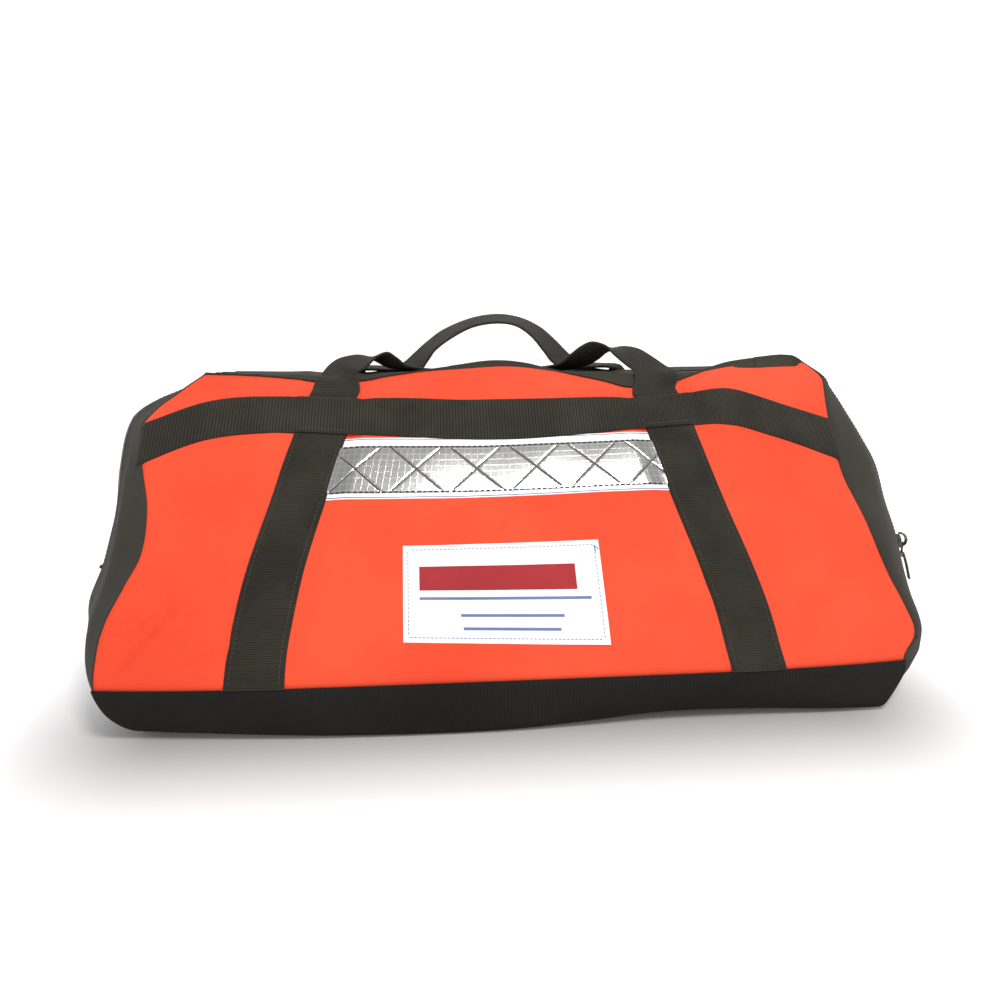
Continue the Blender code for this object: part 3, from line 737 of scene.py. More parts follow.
def panel(name, wall):
    """A long side of the body, from the band up to the top."""
    straight = wall.length - PANEL_TOP
    rows = np.concatenate([[0.0, 1.0, 3.0, 6.0], np.linspace(10.0, straight, 62),
                           straight + PANEL_TOP * np.sin(np.linspace(0.0, math.pi / 2.0, 34))[1:]])
    cols = np.concatenate([np.linspace(-1.0, -0.98, 4)[:-1], np.linspace(-0.98, 0.98, 200),
                           np.linspace(0.98, 1.0, 4)[1:]])
    made = sheet(name, rows, cols, panel_place(wall), CLOTH, RED, base=-CLOTH,
                 uv=lambda v, u: (v, u * HALF_LENGTH))
    settle(made, "root", "red_fabric", [name])


def base_band(name, wall):
    """The dark band: ribbed cloth that rounds under the bag at its lower edge. Part of its darkness is
    painted shade.
    """
    def place(v, share, off):
        return wall.at(share * wall.reach(share, v), v, off)

    def relief(v, share):
        rib = np.abs(np.sin(share * count * math.pi)) ** 0.7
        lip = smooth(-v / 3.0) * smooth((v + BAND_HEIGHT) / 4.0)
        return CLOTH + lip * (0.4 + 0.22 * rib)

    count = int(HALF_LENGTH / RIB_PITCH)
    rows = np.concatenate([np.linspace(-BAND_HEIGHT, -BAND_HEIGHT + 16.0, 9), np.linspace(-28.0, -5.0, 6),
                           [-2.5, -1.2, 0.0]])
    made = sheet(name, rows, np.linspace(-1.0, 1.0, count * 8 + 1), place, relief, BASE_BLACK_AND_SHADE, base=-CLOTH,
                 uv=lambda v, share: (share * count * RIB_PITCH, v))
    settle(made, "root", "black_fabric", [name])


def base_place(s, u, off):
    """The bottom of the bag: s runs from front to back and u, -1 to 1, from end to end."""
    front, back = (wall.at(u * FRONT.reach(u, -BAND_HEIGHT), -BAND_HEIGHT) for wall in (FRONT, BACK))
    point = front + (back - front) * s[..., None]
    for end in (-1, 1):
        tips = [wall.at(*wall.outline(end, np.array(0.0))) for wall in (FRONT, BACK)]
        stand = (gusset(end, 0.0 * s, s) - tips[0] - (tips[1] - tips[0]) * s[..., None])[..., :2]
        point[..., :2] += stand * (np.clip(end * u, 0.0, 1.0) ** 4)[..., None]
    point[..., 2] = off
    return point


def base_piece(name, margin, thick, base, material, slot):
    """A flat piece over the bottom, with a margin as a share of its size."""
    made = sheet(name, np.linspace(margin, 1.0 - margin, 25), np.linspace(margin - 1.0, 1.0 - margin, 81),
                 base_place, thick, material, base=base,
                 uv=lambda s, u: (s * BASE_DEPTH, u * BASE_HALF_LENGTH))
    settle(made, "root", slot, [name])


def end_rows(end):
    """Outline values up an end panel, over its corner and to the flaps."""
    top = q_at_x(end, FLAP_HALF_LENGTH)
    return np.concatenate([np.linspace(0.0, 1.0, 14), np.linspace(1.0, 2.0, 62)[1:],
                           np.linspace(2.0, 3.0, 40)[1:], np.linspace(3.0, top, 5)[1:]])


def end_cloth(name, end):
    """One end of the black gusset, slotted for the zip, with its seams rolled in."""
    foot = q_at_height(end, ZIP_FOOT)
    front = np.concatenate([np.linspace(0.0, MARGIN, 5), MARGIN + (1 - MARGIN) * np.linspace(0, 1, 22)[1:]])
    sides = np.concatenate([front - 1.0, 2.0 - front[::-1]])     # -1..0 up to the slot, 1..2 past it

    def place(q, u, off):
        width, share = gusset_width(end, q), zip_share(q)
        slot_half = ZIP_HALF / width
        s = np.where(u <= 0.5, (u + 1.0) * (share - slot_half),
                     share + slot_half + (u - 1.0) * (1.0 - share - slot_half))
        seam = np.minimum(s, 1.0 - s) * width
        roll = SEAM_DIP * (1.0 - np.clip(seam / SEAM_REACH, 0.0, 1.0)) ** 2
        return gusset(end, q, s, off - 0.6 * roll)

    made = sheet(name, end_rows(end), sides, place, CLOTH, BLACK, base=-CLOTH,
                 uv=lambda q, u: (q * GUSSET_RUN, u * GUSSET_WIDTH),
                 hole=lambda q, u: (q >= foot) & (u > -1e-6) & (u < 0.5))
    settle(made, "root", "black_fabric", [name])


def top_margin(name, side):
    """The fixed edge of the top between a panel's seam and its flap."""
    half = FLAP_HALF_LENGTH
    made = sheet(name, np.linspace(-half, half, 161), np.linspace(0.0, MARGIN, 5),
                 lambda x, s, off: top_place(x, s if side < 0 else 1.0 - s, off), CLOTH, BLACK, base=-CLOTH,
                 uv=lambda x, s: (x, s * TOP_BACK))
    settle(made, "root", "black_fabric")


def top_place(x, s, off):
    """Points on the top gusset by place along it, for both ends together."""
    place = [gusset(end, q_at_x(end, x), s, off) for end in (-1, 1)]
    return np.where((x < 0)[..., None], place[0], place[1])


def flap_place(side):
    """Points on a flap by place along it and distance from the zip line."""
    return lambda x, reach, off: top_place(x, 0.5 + side * reach / TOP_BACK, off)


# ---------------------------------------------------------------- zip

def zip_rows(name, body, side, hand, bend, replaces):
    """One half of an opening flap: cloth, tape and nylon teeth, from the middle to one end."""
    place = flap_place(side)
    reach = 0.5 * TOP_BACK * (1.0 - 2.0 * MARGIN)
    xs = np.linspace(0.0, hand * FLAP_HALF_LENGTH, 100)
    flap = sheet(f"{name}_flap", xs, [ZIP_HALF, ZIP_HALF + 1.5, 20.0, 28.0, reach - 1.0, reach], place,
                 CLOTH, BLACK, base=-CLOTH)
    tape = sheet(f"{name}_tape", xs, np.linspace(1.4, ZIP_HALF + 3.0, 6), place, TAPE, TAPE_CLOTH,
                 base=TAPE_BASE)
    at = np.arange(0.5 * TOOTH_PITCH, FLAP_HALF_LENGTH - 1.0, TOOTH_PITCH) * hand
    at = at - side * 0.25 * TOOTH_PITCH        # the two sides' teeth stand in turn
    teeth = capsules(f"{name}_teeth", place, [(x, TOOTH_ROOT) for x in at], [(x, TOOTH_TIP) for x in at],
                     TOOTH_RADIUS, TEETH, lift=TOOTH_LIFT)
    seam = stitches(f"{name}_seam", place, [[(x, ZIP_STITCH) for x in xs[::10]]], BLACK_THREAD)
    for made, slot_name, node in ((flap, "black_fabric", "flap"), (tape, "zip_tape", "tape"),
                                  (teeth, "zip_teeth", "teeth"), (seam, "black_fabric", None)):
        settle(made, body, slot_name, [f"{replaces}_zip_{node}"] if node else (), bend)


def opening_top():
    """The two flaps, each in two halves that run from the middle to an end."""
    for flap, side, y in (("front", -1, TOP_FRONT), ("back", 1, TOP_BACK)):
        for hand_name, hand in (("left", -1), ("right", 1)):
            bend = [Vector((hand * x, y, TOP_HEIGHT)) * MM for x in (FLAP_HALF_LENGTH, 150.0)]
            zip_rows(f"{flap}_{hand_name}", f"{flap}_flap", side, hand, bend, flap)


def end_zip(name, end):
    """The shut zip on one end: tape, two rows of meshed teeth, and the stop at its foot."""
    def place(q, reach, off):
        return by_reach(end, q, reach, off)

    foot = q_at_height(end, ZIP_FOOT)
    top = q_at_x(end, FLAP_HALF_LENGTH)
    rows = np.linspace(foot + 0.01, top, 90)
    tape = sheet(f"{name}_end_zip_tape", rows, np.linspace(-ZIP_HALF - 3, ZIP_HALF + 3, 9), place, TAPE,
                 TAPE_CLOTH, base=TAPE_BASE, uv=lambda q, r: (q * GUSSET_RUN, r))
    settle(tape, "root", "zip_tape", [f"{name}_end_zip_tape"])
    run = np.linspace(foot + 0.05, top, 400)
    far = run_along(place(run, 0.0 * run, 0.0))
    starts, ends = [], []
    for k, distance in enumerate(np.arange(0.0, far[-1] - 1.0, TOOTH_PITCH / 2.0)):
        q = float(np.interp(distance, far, run))
        side = 1 if k % 2 else -1
        starts.append((q, side * TOOTH_ROOT))
        ends.append((q, side * TOOTH_TIP))
    teeth = capsules(f"{name}_end_zip_teeth", place, starts, ends, TOOTH_RADIUS, TEETH, lift=TOOTH_LIFT)
    settle(teeth, "root", "zip_teeth", [f"{name}_end_zip_teeth"])
    stop_q, stop_half = foot + 0.045, 4.6
    stop = capsules(f"{name}_zip_stop", place, [(stop_q, -stop_half)], [(stop_q, stop_half)], 1.7, DARK_METAL,
                    lift=0.4)
    settle(stop, "root", "slider_metal", [f"{name}_zip_stop"])
    rows_of_thread = [[(q, side * ZIP_STITCH) for q in rows[::6]] for side in (-1, 1)]
    seam = stitches(f"{name}_zip_seam", place, rows_of_thread, BLACK_THREAD)
    settle(seam, "root", "black_fabric")


# ---------------------------------------------------------------- webbing on the body

FRONT_WAIST = ((-372, 226), (-346, 239), (-290, 266), (-215, 274), (-154, 271), (-20, 264), (20, 264),
               (157, 276), (210, 280), (245, 277), (282, 263), (348, 234), (372, 226))


def waist_centre(wall, x):
    """The height of the waist strap's middle up the cloth."""
    if wall is FRONT:
        return curve_through(FRONT_WAIST, x)
    return wall.waist + WEB_WIDTH / 2 + 2.0 * np.sin(x / 90.0) - 16.0 * (np.abs(x) / HALF_LENGTH) ** 4


def waist_place(wall):
    """Points on a waist strap by place along the bag and distance up from the strap's middle."""
    def place(x, w, off):
        return wall.at(x, waist_centre(wall, x) + w, off)
    return place


def waist_strap(name, wall):
    """Ribbed webbing from end seam to end seam, over both carry straps."""
    def lift(x, _w):
        crossing = strap_x(waist_centre(wall, x), x)
        near = smooth((WEB_WIDTH / 2 + 12.0 - np.abs(np.abs(x) - crossing)) / 12.0)
        return WAIST_LIFT + near * WAIST_STEP

    ends = [end * (float(wall.half_width(end, waist_centre(wall, end * 355.0))) - 0.6) for end in (-1, 1)]
    made = webbing(name, ends, waist_place(wall), WEBBING, base=lift)
    settle(made, "root", "webbing", [name])


def carry_strap(name, wall, side):
    """The lower run of a carry strap, from the base band to under the waist strap."""
    def place(v, w, off):
        return wall.at(side * strap_x(v, side) + w, v, off)

    top = float(waist_centre(wall, side * STRAP_AT_WAIST)) + 18.0
    made = webbing(name, (-1.0, top), place, WEBBING, half=WEB_WIDTH / 2 + 1, pitch=STRAP_RIB_PITCH,
                   rib=STRAP_RIB, base=0.1)
    settle(made, "root", "webbing", [name])
    edge = WEB_WIDTH / 2 - STITCH_INSET
    rows = [[(v, w) for v in np.linspace(3.0, top - 34.0, 8)] for w in (-edge, edge)]
    seam = stitches(f"{name}_stitching", place, rows, WEB_THREAD, lift=0.1 + WEB + 0.2)
    settle(seam, "root", "webbing")


def waist_tacks(name, wall):
    """Stitching through the waist strap where it crosses each carry strap."""
    rows = []
    for side in (-1, 1):
        middle = side * float(strap_x(float(waist_centre(wall, side * STRAP_AT_WAIST)), side))
        for w in (-21.0, 21.0):
            rows.append([(x, w) for x in np.linspace(middle - 26.0, middle + 26.0, 5)])
    made = stitches(name, waist_place(wall), rows, WEB_THREAD, lift=0.15 + 2.0 * WEB + 1.75)
    settle(made, "root", "webbing")


# ---------------------------------------------------------------- handles

class Ribbon:
    """A strap between two smooth edges, each a list of places along the strap."""

    def __init__(self, edges):
        self.edges = [self.spline(np.array(edge, float)) for edge in edges]
        middle = (self.edges[0] + self.edges[1]) / 2.0
        self.run = run_along(middle)
        self.length = self.run[-1]
        self.ahead = unit(np.gradient(middle, axis=0))

    @staticmethod
    def spline(values, steps=24):
        """Catmull-Rom through the rows of values."""
        ends = np.concatenate([values[:1], values, values[-1:]])
        t = (np.arange(steps) / steps)[:, None]
        parts = []
        for a, b, c, d in zip(ends, ends[1:], ends[2:], ends[3:]):
            parts.append(0.5 * ((-t ** 3 + 2 * t ** 2 - t) * a + (3 * t ** 3 - 5 * t ** 2 + 2) * b
                                + (-3 * t ** 3 + 4 * t ** 2 + t) * c + (t ** 3 - t ** 2) * d))
        return np.concatenate(parts + [values[-1:]])

    def at(self, length, share, off):
        """Points by the length along the strap and the share of its width, -1 to 1."""
        length, share = np.broadcast_arrays(np.asarray(length, float), np.asarray(share, float))
        a, b, ahead = (np.stack([np.interp(length, self.run, rows[:, k]) for k in range(3)], -1)
                       for rows in (*self.edges, self.ahead))
        out = unit(np.cross(b - a, ahead))
        return (a + b) / 2.0 + (b - a) / 2.0 * share[..., None] + out * np.asarray(off)[..., None]


def rest_on(wall, points):
    """Lift the points of a strap's edge that would lie in the wall's cloth, or in its seam, onto it."""
    for point in points:
        cloth_line = wall.at(point[0], np.linspace(200.0, wall.length, 40))
        depth, height = wall.side * cloth_line[:, 1], cloth_line[:, 2]
        here = wall.side * point[1]
        if here > depth[-1] - 14.0:
            floor = np.interp(-here, -depth, height) - 0.25 * max(depth[-1] - here, 0.0)
            point[2] = max(point[2], floor + 1.4 * GRIP_RISE)


def handle(name, wall, left, right, body):
    """A carry loop from under the waist strap up over the top; its feet stay sewn to the panel.

    left and right are (outer edge, inner edge) pairs of places from a foot towards the middle.
    """
    def foot(side):
        low = float(waist_centre(wall, side * STRAP_AT_WAIST))
        return [[tuple(wall.at(side * (strap_x(v, side) + out * GRIP_WIDTH / 2.0), v, GRIP_RISE))
                 for out in (1, -1)] for v in (low + up for up in FOOT_ROWS)]

    def place(length, width, off):
        return strap.at(length, width / (GRIP_WIDTH / 2.0), off)

    pairs = foot(-1) + left + right[::-1] + foot(1)[::-1]
    strap = Ribbon([[pair[k] for pair in pairs] for k in range(2)])
    for edge in strap.edges:
        rest_on(wall, edge)
    made = webbing(name, (0.0, strap.length), place, WEBBING, half=GRIP_WIDTH / 2, pitch=GRIP_RIB_PITCH,
                   two_sided=True)
    bend = [Vector((0.0, *(wall.at(0.0, wall.waist + WEB_WIDTH + up)[1:] * MM))) for up in (-4.0, 18.0)]
    settle(made, body, "webbing", [name], bend)


def front_handle():
    """This loop has fallen back over the top, and twists before its grip lies along the zip."""
    left = [((-182, 16, 312), (-145, -10, 304)), ((-171, 36, 322), (-147, -3, 309)),
            ((-156, 44, 326), (-142, 0, 312)), ((-146, 51, 326), (-136, 5, 316)),
            ((-137, 59, 323), (-127, 12, 325)), ((-128, 62, 318), (-115, 16, 330)),
            ((-118, 64, 313), (-105, 18, 324)), ((-100, 64, 310), (-92, 18, 315)),
            ((-60, 62, 309), (-58, 14, 311)), ((0, 61, 308), (0, 13, 311))]
    right = [((197, -10, 307), (149, -12, 304)), ((191, 19, 315), (149, -4, 311)),
             ((177, 32, 326), (144, -1, 315)), ((165, 40, 333), (137, 3, 321)),
             ((150, 51, 335), (130, 8, 328)), ((135, 58, 330), (121, 12, 337)),
             ((124, 60, 321), (107, 15, 341)), ((111, 61, 314), (95, 17, 336)),
             ((92, 62, 310), (82, 18, 326)), ((68, 62, 309), (62, 16, 315))]
    handle("front_handle", FRONT, left, right, "front_carry_handle")


def back_handle():
    """This loop lies along the back of the top and then stands up in an arch."""
    left = [((-178, 112, 297), (-146, 108, 300)), ((-160, 98, 311), (-142, 74, 309)),
            ((-136, 104, 312), (-118, 66, 309)), ((-113, 106, 311), (-94, 64, 308)),
            ((-101, 107, 316), (-80, 62, 310)), ((-88, 109, 327), (-72, 64, 320)),
            ((-74, 112, 339), (-62, 66, 333)), ((-53, 114, 354), (-42, 68, 347)),
            ((-21, 115, 367), (-19, 68, 358)), ((11, 115, 372), (7, 68, 362))]
    right = [((178, 112, 297), (146, 108, 300)), ((160, 98, 312), (140, 74, 311)),
             ((136, 104, 314), (116, 66, 312)), ((112, 105, 316), (90, 64, 311)),
             ((97, 104, 326), (72, 64, 317)), ((81, 108, 342), (62, 66, 329)),
             ((63, 112, 357), (47, 68, 347)), ((39, 114, 368), (29, 68, 359))]
    handle("back_handle", BACK, left, right, "back_carry_handle")


# ---------------------------------------------------------------- strip and label

def on_front(u, v, off):
    """Points of the trim between the carry straps: u is -1 to 1 from strap to strap."""
    reach = strap_x(v, u) - WEB_WIDTH / 2.0 + 0.6
    return FRONT.at(u * reach, v, off)


STRIP_LOW, STRIP_HEIGHT = 176.0, 68.0
STRIP_LOWER_EDGE, STRIP_UPPER_EDGE = 6.0, 10.0     # white border below and above the film
FILM_LOW = STRIP_LOW + STRIP_LOWER_EDGE
FILM_HEIGHT = STRIP_HEIGHT - STRIP_LOWER_EDGE - STRIP_UPPER_EDGE
CROSS_SHIFT = 3.0          # the row of crosses sits a little towards the right
CROSS_PITCH, CROSS_COUNT = 58.0, 6
CROSS_WIDTH = 1.5
CROSS_STROKES = [((k - (CROSS_COUNT - 1) / 2.0) * CROSS_PITCH, way) for k in range(CROSS_COUNT)
                 for way in (-1, 1)]               # each stroke's middle, and which way it leans


def strip_place(v, u, off):
    """The strip's surface, which bows down a little in the middle and climbs to the right."""
    return on_front(u, v - 2.0 * (1.0 - u * u) + 2.4 * u, off)


def strip_weave(v, u):
    return v, u * STRIP_HALF_LENGTH


def film_thick(v, u):
    """The film is pillowed between its edges and pressed in along the crosses."""
    x = u * (strap_x(v, u) - WEB_WIDTH / 2.0) - CROSS_SHIFT
    up = (v - FILM_LOW) / FILM_HEIGHT
    near = np.full(np.shape(x), 1e9)
    for middle, way in CROSS_STROKES:
        near = np.minimum(near, np.abs(x - middle - way * (up - 0.5) * FILM_HEIGHT) / math.sqrt(2.0))
    pressed = 1.0 - smooth(near / CROSS_WIDTH)
    pillow = np.sin(np.clip(up, 0, 1) * math.pi) ** 0.5
    return 0.35 + 0.9 * pillow * (1.0 - 0.85 * pressed)


def cross_lines():
    """The strokes of the crosses as places on the strip, without what lies past its ends."""
    lines = []
    steps = np.linspace(-0.45, 0.45, 12)
    vs = FILM_LOW + (steps + 0.5) * FILM_HEIGHT
    for middle, way in CROSS_STROKES:
        xs = middle + way * steps * FILM_HEIGHT
        us = (xs + CROSS_SHIFT) / (strap_x(vs, xs) - WEB_WIDTH / 2.0)
        inside = np.abs(us) < 0.995
        if inside.sum() > 2:
            lines.append(list(zip(vs[inside], us[inside])))
    return lines


def reflective_strip():
    """Silver film with pressed crosses on a white vinyl backing, sewn along both edges."""
    high, film_high = STRIP_LOW + STRIP_HEIGHT, FILM_LOW + FILM_HEIGHT
    backing = sheet("reflective_backing", np.linspace(STRIP_LOW, high, 24), np.linspace(-1.0, 1.0, 150),
                    strip_place, 0.55, WHITE_VINYL, base=0.1, uv=strip_weave)
    settle(backing, "root", "reflective_border", ["reflective_backing"])
    film = sheet("reflective_tape", np.linspace(FILM_LOW, film_high, 56), np.linspace(-1.0, 1.0, 420),
                 strip_place, film_thick, FILM, base=0.68, uv=strip_weave)
    settle(film, "root", "reflective_film", ["reflective_tape"])
    crosses = ridge_lines("reflective_crosses", strip_place, cross_lines(), 0.8, 0.9, 1.5, GROOVE)
    settle(crosses, "root", "reflective_film")
    rows = [[(v, u) for u in np.linspace(-0.99, 0.99, 30)] for v in (FILM_LOW + 0.8, film_high - 0.8)]
    sewn = stitches("reflective_stitching", strip_place, rows, BLACK_THREAD, length=4.2, gap=1.3,
                    radius=0.75, lift=1.5)
    settle(sewn, "root", "reflective_border")
    edges = [[(v, u) for u in np.linspace(-0.995, 0.995, 40)] for v in (STRIP_LOW + 1.6, high - 1.6)]
    piping = ridge_lines("reflective_edge_lines", strip_place, edges, 0.45, 0.6, 0.85, NAVY_THREAD)
    settle(piping, "root", "reflective_border")


def ridge_lines(name, place, lines, half, low, high, material):
    """Thin raised lines along paths on a surface, all in one piece."""
    verts, faces = [], []
    for line in lines:
        a, b = along_row(line, np.linspace(0, len(line) - 1, 3 * len(line)))
        centre, above = place(a, b, low + 0 * a), place(a, b, high + 0 * a)
        normal = (above - centre) / (high - low)
        side = unit(np.cross(normal, np.gradient(centre, axis=0)))
        ring = np.stack([centre - side * half, centre + side * half, above + side * half * 0.6,
                         above - side * half * 0.6], axis=1)
        home = len(verts) * 4
        verts.extend(ring)
        for i in range(len(a) - 1):
            for j in range(4):
                n = (j + 1) % 4
                here, there = home + i * 4, home + i * 4 + 4
                faces.append((here + j, here + n, there + n, there + j))
        faces.append((home + 3, home + 2, home + 1, home))
        end = home + (len(a) - 1) * 4
        faces.append((end, end + 1, end + 2, end + 3))
    return make_piece(name, np.array(verts), faces, material)


LABEL = {"x": -7.0, "half": 90.5, "low": 33.0, "high": 125.0}


def label_place(v, x, off):
    """The label's surface: a little askew, its foot swung to the right, its right edge off the cloth."""
    right = (x + LABEL["half"]) / (2.0 * LABEL["half"])
    down = (LABEL["high"] - v) / (LABEL["high"] - LABEL["low"])
    lift = 0.35 + 0.7 * smooth((x - 40.0) / 60.0) * (0.5 + 0.5 * np.sin(v / 21.0))
    along = LABEL["x"] + x + right * (1.5 + 3.5 * down)
    return FRONT.at(along, v + down * (3.5 - 10.0 * right) + 1.5 * right, off + lift)


def printed(name, x, v, material):
    """A flat printed area on the label."""
    made = sheet(name, np.linspace(*v, 8), np.linspace(*x, 40), label_place, 0.06, material, base=0.2)
    settle(made, "root", "label_cloth")


def label():
    """A white label with a sewn border and a plain band and rules where a print would be."""
    half, low, high = LABEL["half"], LABEL["low"], LABEL["high"]
    patch = sheet("label_patch", np.linspace(low, high, 30), np.linspace(-half, half, 60), label_place, 0.5,
                  LABEL_CLOTH, base=-0.3)
    settle(patch, "root", "label_cloth", ["label_patch"])
    printed("label_band", (-76.0, 66.0), (81.0, 104.0), LABEL_RED)
    rules = ((-76.0, 78.0, 73.5), (-40.0, 52.0, 58.0), (-38.0, 48.0, 46.0))
    for k, (left, right, middle) in enumerate(rules):
        printed(f"label_rule_{k + 1}", (left, right), (middle - 1.3, middle + 1.3), LABEL_BLUE)
    inset = 4.5
    corners = [(low + inset, -half + inset), (low + inset, half - inset), (high - inset, half - inset),
               (high - inset, -half + inset), (low + inset, -half + inset)]
    border = [[tuple(mix(np.array(a), np.array(b), t)) for t in np.linspace(0, 1, 9)]
              for a, b in zip(corners, corners[1:])]
    sewn = stitches("label_stitching", label_place, border, NAVY_THREAD, length=2.4, gap=1.3, radius=0.3,
                    lift=0.25)
    settle(sewn, "root", "label_cloth")
    tail = [[(high - 6.0, half - 5.0), (high - 9.0, half - 3.2), (high - 12.0, half - 4.4)],
            [(high - 5.0, half - 5.0), (high - 7.5, half - 1.8), (high - 9.0, half - 0.9)]]
    loose = ridge_lines("label_thread_tail", label_place, tail, 0.28, 0.3, 0.7, NAVY_THREAD)
    settle(loose, "root", "label_cloth")


# ---------------------------------------------------------------- slider

def rounded_bar(name, path, half_wide, half_thick, material, across, closed=False, sides=10):
    """A bar of rounded section along points; across is the direction of its width."""
    def squarish(a):
        return np.sign(a) * np.abs(a) ** 0.6

    path = np.array(path, float)
    ahead = unit((np.roll(path, -1, 0) - np.roll(path, 1, 0)) if closed else np.gradient(path, axis=0))
    across = np.broadcast_to(np.array(across, float), path.shape)
    across = unit(across - ahead * np.sum(across * ahead, 1)[:, None])
    out = np.cross(across, ahead)
    turn = np.linspace(0, 2 * math.pi, sides, endpoint=False)
    ring = (path[:, None] + across[:, None] * (squarish(np.cos(turn)) * half_wide)[None, :, None]
            + out[:, None] * (squarish(np.sin(turn)) * half_thick)[None, :, None])
    count = len(path)
    faces = []
    for i in range(count if closed else count - 1):
        here, there = i * sides, (i + 1) % count * sides
        for j in range(sides):
            n = (j + 1) % sides
            faces.append((here + j, there + j, there + n, here + n))
    if not closed:
        faces.append(tuple(range(sides)))
        faces.append(tuple(reversed(range((count - 1) * sides, count * sides))))
    return make_piece(name, ring, faces, material)


def slider_plate(name, rings):
    """A solid plate from its outline at three heights, the lowest first."""
    count = len(rings[0])
    faces = [tuple(range(count)), tuple(reversed(range(2 * count, 3 * count)))]
    for level in (0, count):
        for j in range(count):
            n = (j + 1) % count
            faces.append((level + n, level + j, level + count + j, level + count + n))
    return make_piece(name, np.array(rings), faces, DARK_METAL)


def slider():
    """The zip slider on the right end: two plates and the bridge over them."""
    low, high = (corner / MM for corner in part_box("zip_slider_body"))
    centre = np.array((low + high) / 2.0)
    along = np.array(JOINTS["zip_travel"]["axis"], float)
    q = q_at_height(1, centre[2])
    surface = by_reach(1, q, np.array([0.0, 1.0]), np.array([0.0, 0.0]))
    normal = by_reach(1, q, 0.0, 1.0) - surface[0]
    across = unit(surface[1] - surface[0])
    home = centre - normal * 1.4
    outline = [(-7.0, 2.3), (-5.5, 3.6), (0.0, 4.4), (4.0, 5.0), (6.6, 4.2), (7.4, 0.0)]
    outline = outline + [(a, -w) for a, w in reversed(outline[:-1])]
    for k, (foot, top) in enumerate(((-2.0, -1.0), (1.2, 3.0))):
        levels = ((foot, 1.0, 1.0), (top - 0.6, 1.0, 1.0), (top, 0.9, 0.84))
        rings = [[home + along * a * longer + across * w * wider + normal * level for a, w in outline]
                 for level, longer, wider in levels]
        plate = slider_plate(f"zip_slider_plate_{k + 1}", rings)
        settle(plate, "slider", "slider_metal", ["zip_slider_body"] if k else ())
    arch = [home + normal * (2.4 + 6.8 * math.sin(a)) + along * (7.0 * math.cos(a) + 1.4)
            for a in np.linspace(0.0, math.pi, 19)]
    bridge = rounded_bar("zip_slider_bridge", arch, 2.0, 1.3, DARK_METAL, across)
    settle(bridge, "slider", "slider_metal", ["zip_slider_bridge"])


def pull_ring():
    """The round ring that hangs in the slider's bridge."""
    low, high = (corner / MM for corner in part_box("zip_pull_ring"))
    middle = (low + high) / 2.0
    inset = 0.65           # half the thickness of the CAD's ring
    wide, tall = (high.x - low.x) / 2.0 - inset, (high.z - low.z) / 2.0 - inset
    loop = [(middle.x + wide * math.cos(a), middle.y, middle.z + tall * math.sin(a))
            for a in np.linspace(0.0, 2.0 * math.pi, 36, endpoint=False)]
    ring = rounded_bar("zip_pull_ring", loop, 1.0, 1.0, DARK_METAL, (0, 1, 0), closed=True)
    settle(ring, "pull_ring", "slider_metal", ["zip_pull_ring"])


def pull_tab():
    """The long tab: a strip rolled round the ring at its top, hanging out a little from the bag."""
    eye = np.array(JOINTS["pull_tab_swing"]["pos_m"]) / MM
    reach = 1.2 * (eye[2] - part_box("zip_pull_tab")[0].z / MM)
    roll = 2.3
    rolled = [(roll * math.cos(a), roll * math.sin(a)) for a in np.linspace(math.radians(285.0), 0.0, 16)]
    tail = [(roll - 0.5 * smooth(t) + 0.5 * math.sin(t * math.pi), -reach * t)
            for t in np.linspace(0.08, 1.0, 14)]
    lean = math.radians(20.0)
    path = [eye + np.array([a * math.cos(lean) - b * math.sin(lean), 0.0,
                            a * math.sin(lean) + b * math.cos(lean)]) for a, b in rolled + tail]
    tab = rounded_bar("zip_pull_tab", path, 2.2, 0.9, DARK_METAL, (0, 1, 0), sides=12)
    settle(tab, "pull_tab", "slider_metal", ["zip_pull_tab"])


# ---------------------------------------------------------------- build, light and camera

def build():
    """Every piece of the bag."""
    for name, wall in (("front", FRONT), ("back", BACK)):
        panel(f"{name}_panel", wall)
        base_band(f"{name}_base_band", wall)
        waist_strap(f"{name}_waist_strap", wall)
        waist_tacks(f"{name}_waist_stitching", wall)
        for hand, side in (("left", -1), ("right", 1)):
            carry_strap(f"{name}_{hand}_strap", wall, side)
        top_margin(f"{name}_top_edge", wall.side)
    base_piece("base_panel", 0.0, 2.0, 0.0, BASE_BLACK_AND_SHADE, "black_fabric")
    base_piece("base_stiffener_board", 0.05, 3.0, 2.4, BOARD, "board")
    for name, end in (("left", -1), ("right", 1)):
        end_cloth(f"{name}_end_panel", end)
        end_zip(name, end)
    opening_top()
    front_handle()
    back_handle()
    reflective_strip()
    label()
    slider()
    pull_ring()
    pull_tab()


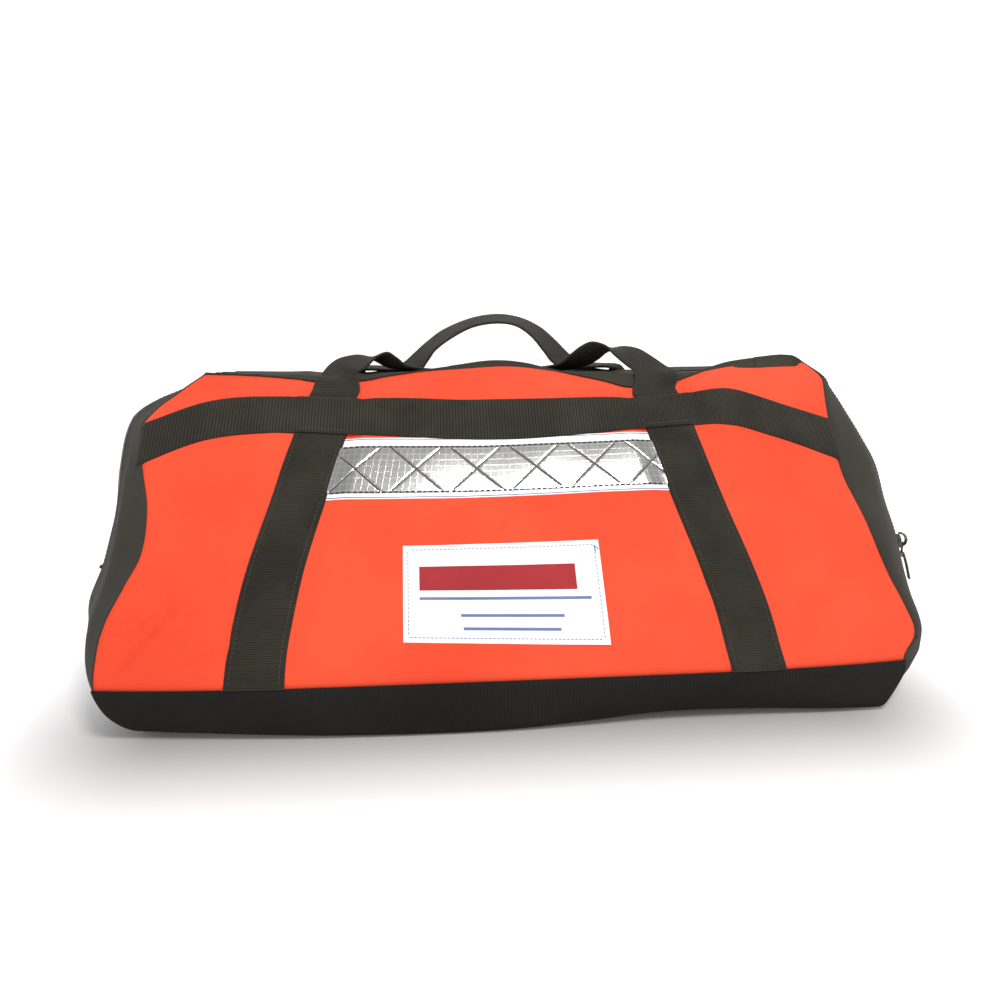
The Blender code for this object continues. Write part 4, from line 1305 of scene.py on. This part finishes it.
def backdrop():
    """A studio sweep, grey round the bag's foot and glowing white away from it."""
    profile = [(-4.0, 0.0), (1.6, 0.0)] + [(1.6 + 0.9 * math.sin(a), 0.9 * (1 - math.cos(a)))
                                           for a in np.linspace(0, math.pi / 2, 12)[1:]] + [(2.5, 5.0)]
    verts = [(x, y, z) for y, z in profile for x in (-6.0, 6.0)]
    faces = [(2 * i, 2 * i + 1, 2 * i + 3, 2 * i + 2) for i in range(len(profile) - 1)]
    mesh = bpy.data.meshes.new("backdrop")
    mesh.from_pydata(verts, [], faces)
    mesh.update()
    mesh.shade_smooth()
    n = Nodes("backdrop_white")
    footprint, glow_reach = (0.30, 0.16, 0.0), 0.24
    past = n.vector("SUBTRACT", n.vector("ABSOLUTE", n.place()), footprint)
    outside = n.vector("MAXIMUM", past, (0.0, 0.0, 0.0))
    away = n.add("ShaderNodeVectorMath", {"operation": "LENGTH"}, Vector=outside).outputs["Value"]
    glow = n.ramp(away, 0.0, glow_reach, 0.0, 0.9, interpolation_type="SMOOTHSTEP")
    n.shade(Base_Color=(0.36, 0.35, 0.355, 1.0), Roughness=0.6, Specular_IOR_Level=0.1,
            Emission_Color=(1.0, 1.0, 1.0, 1.0), Emission_Strength=glow)
    mesh.materials.append(n.material)
    link("backdrop", mesh)


def area_light(name, place, target, size, power, colour):
    lamp = bpy.data.lights.new(name, "AREA")
    lamp.energy, lamp.size, lamp.color = power, size, colour
    made = link(name, lamp)
    made.location = place
    made.rotation_euler = (Vector(target) - Vector(place)).to_track_quat("-Z", "Y").to_euler()


def studio():
    """A dim white surround, a soft key light, a wide fill light, and the photo's camera."""
    scene = bpy.context.scene
    world = bpy.data.worlds.new("studio")
    world.use_nodes = True
    world.node_tree.nodes["Background"].inputs["Color"].default_value = (1.0, 0.995, 0.98, 1.0)
    world.node_tree.nodes["Background"].inputs["Strength"].default_value = 0.42
    scene.world = world
    area_light("key", (0.5, -1.25, 2.2), (0.0, -0.1, 0.2), 0.6, 48.0, (1.0, 0.985, 0.96))
    area_light("fill", (-0.9, -2.2, 0.9), (0.0, 0.0, 0.2), 1.4, 14.0, (1.0, 0.99, 0.97))
    camera = bpy.data.cameras.new("camera")
    camera.lens, camera.sensor_width = 27.72, 36.0
    camera.clip_start, camera.clip_end = 0.05, 50.0
    made = link("camera", camera)
    made.location = (-0.068, -0.8325, 0.350)
    made.rotation_euler = (math.radians(77.8), 0.0, math.radians(-5.0))
    scene.camera = made
    scene.view_settings.view_transform = "Standard"


build()
backdrop()
studio()
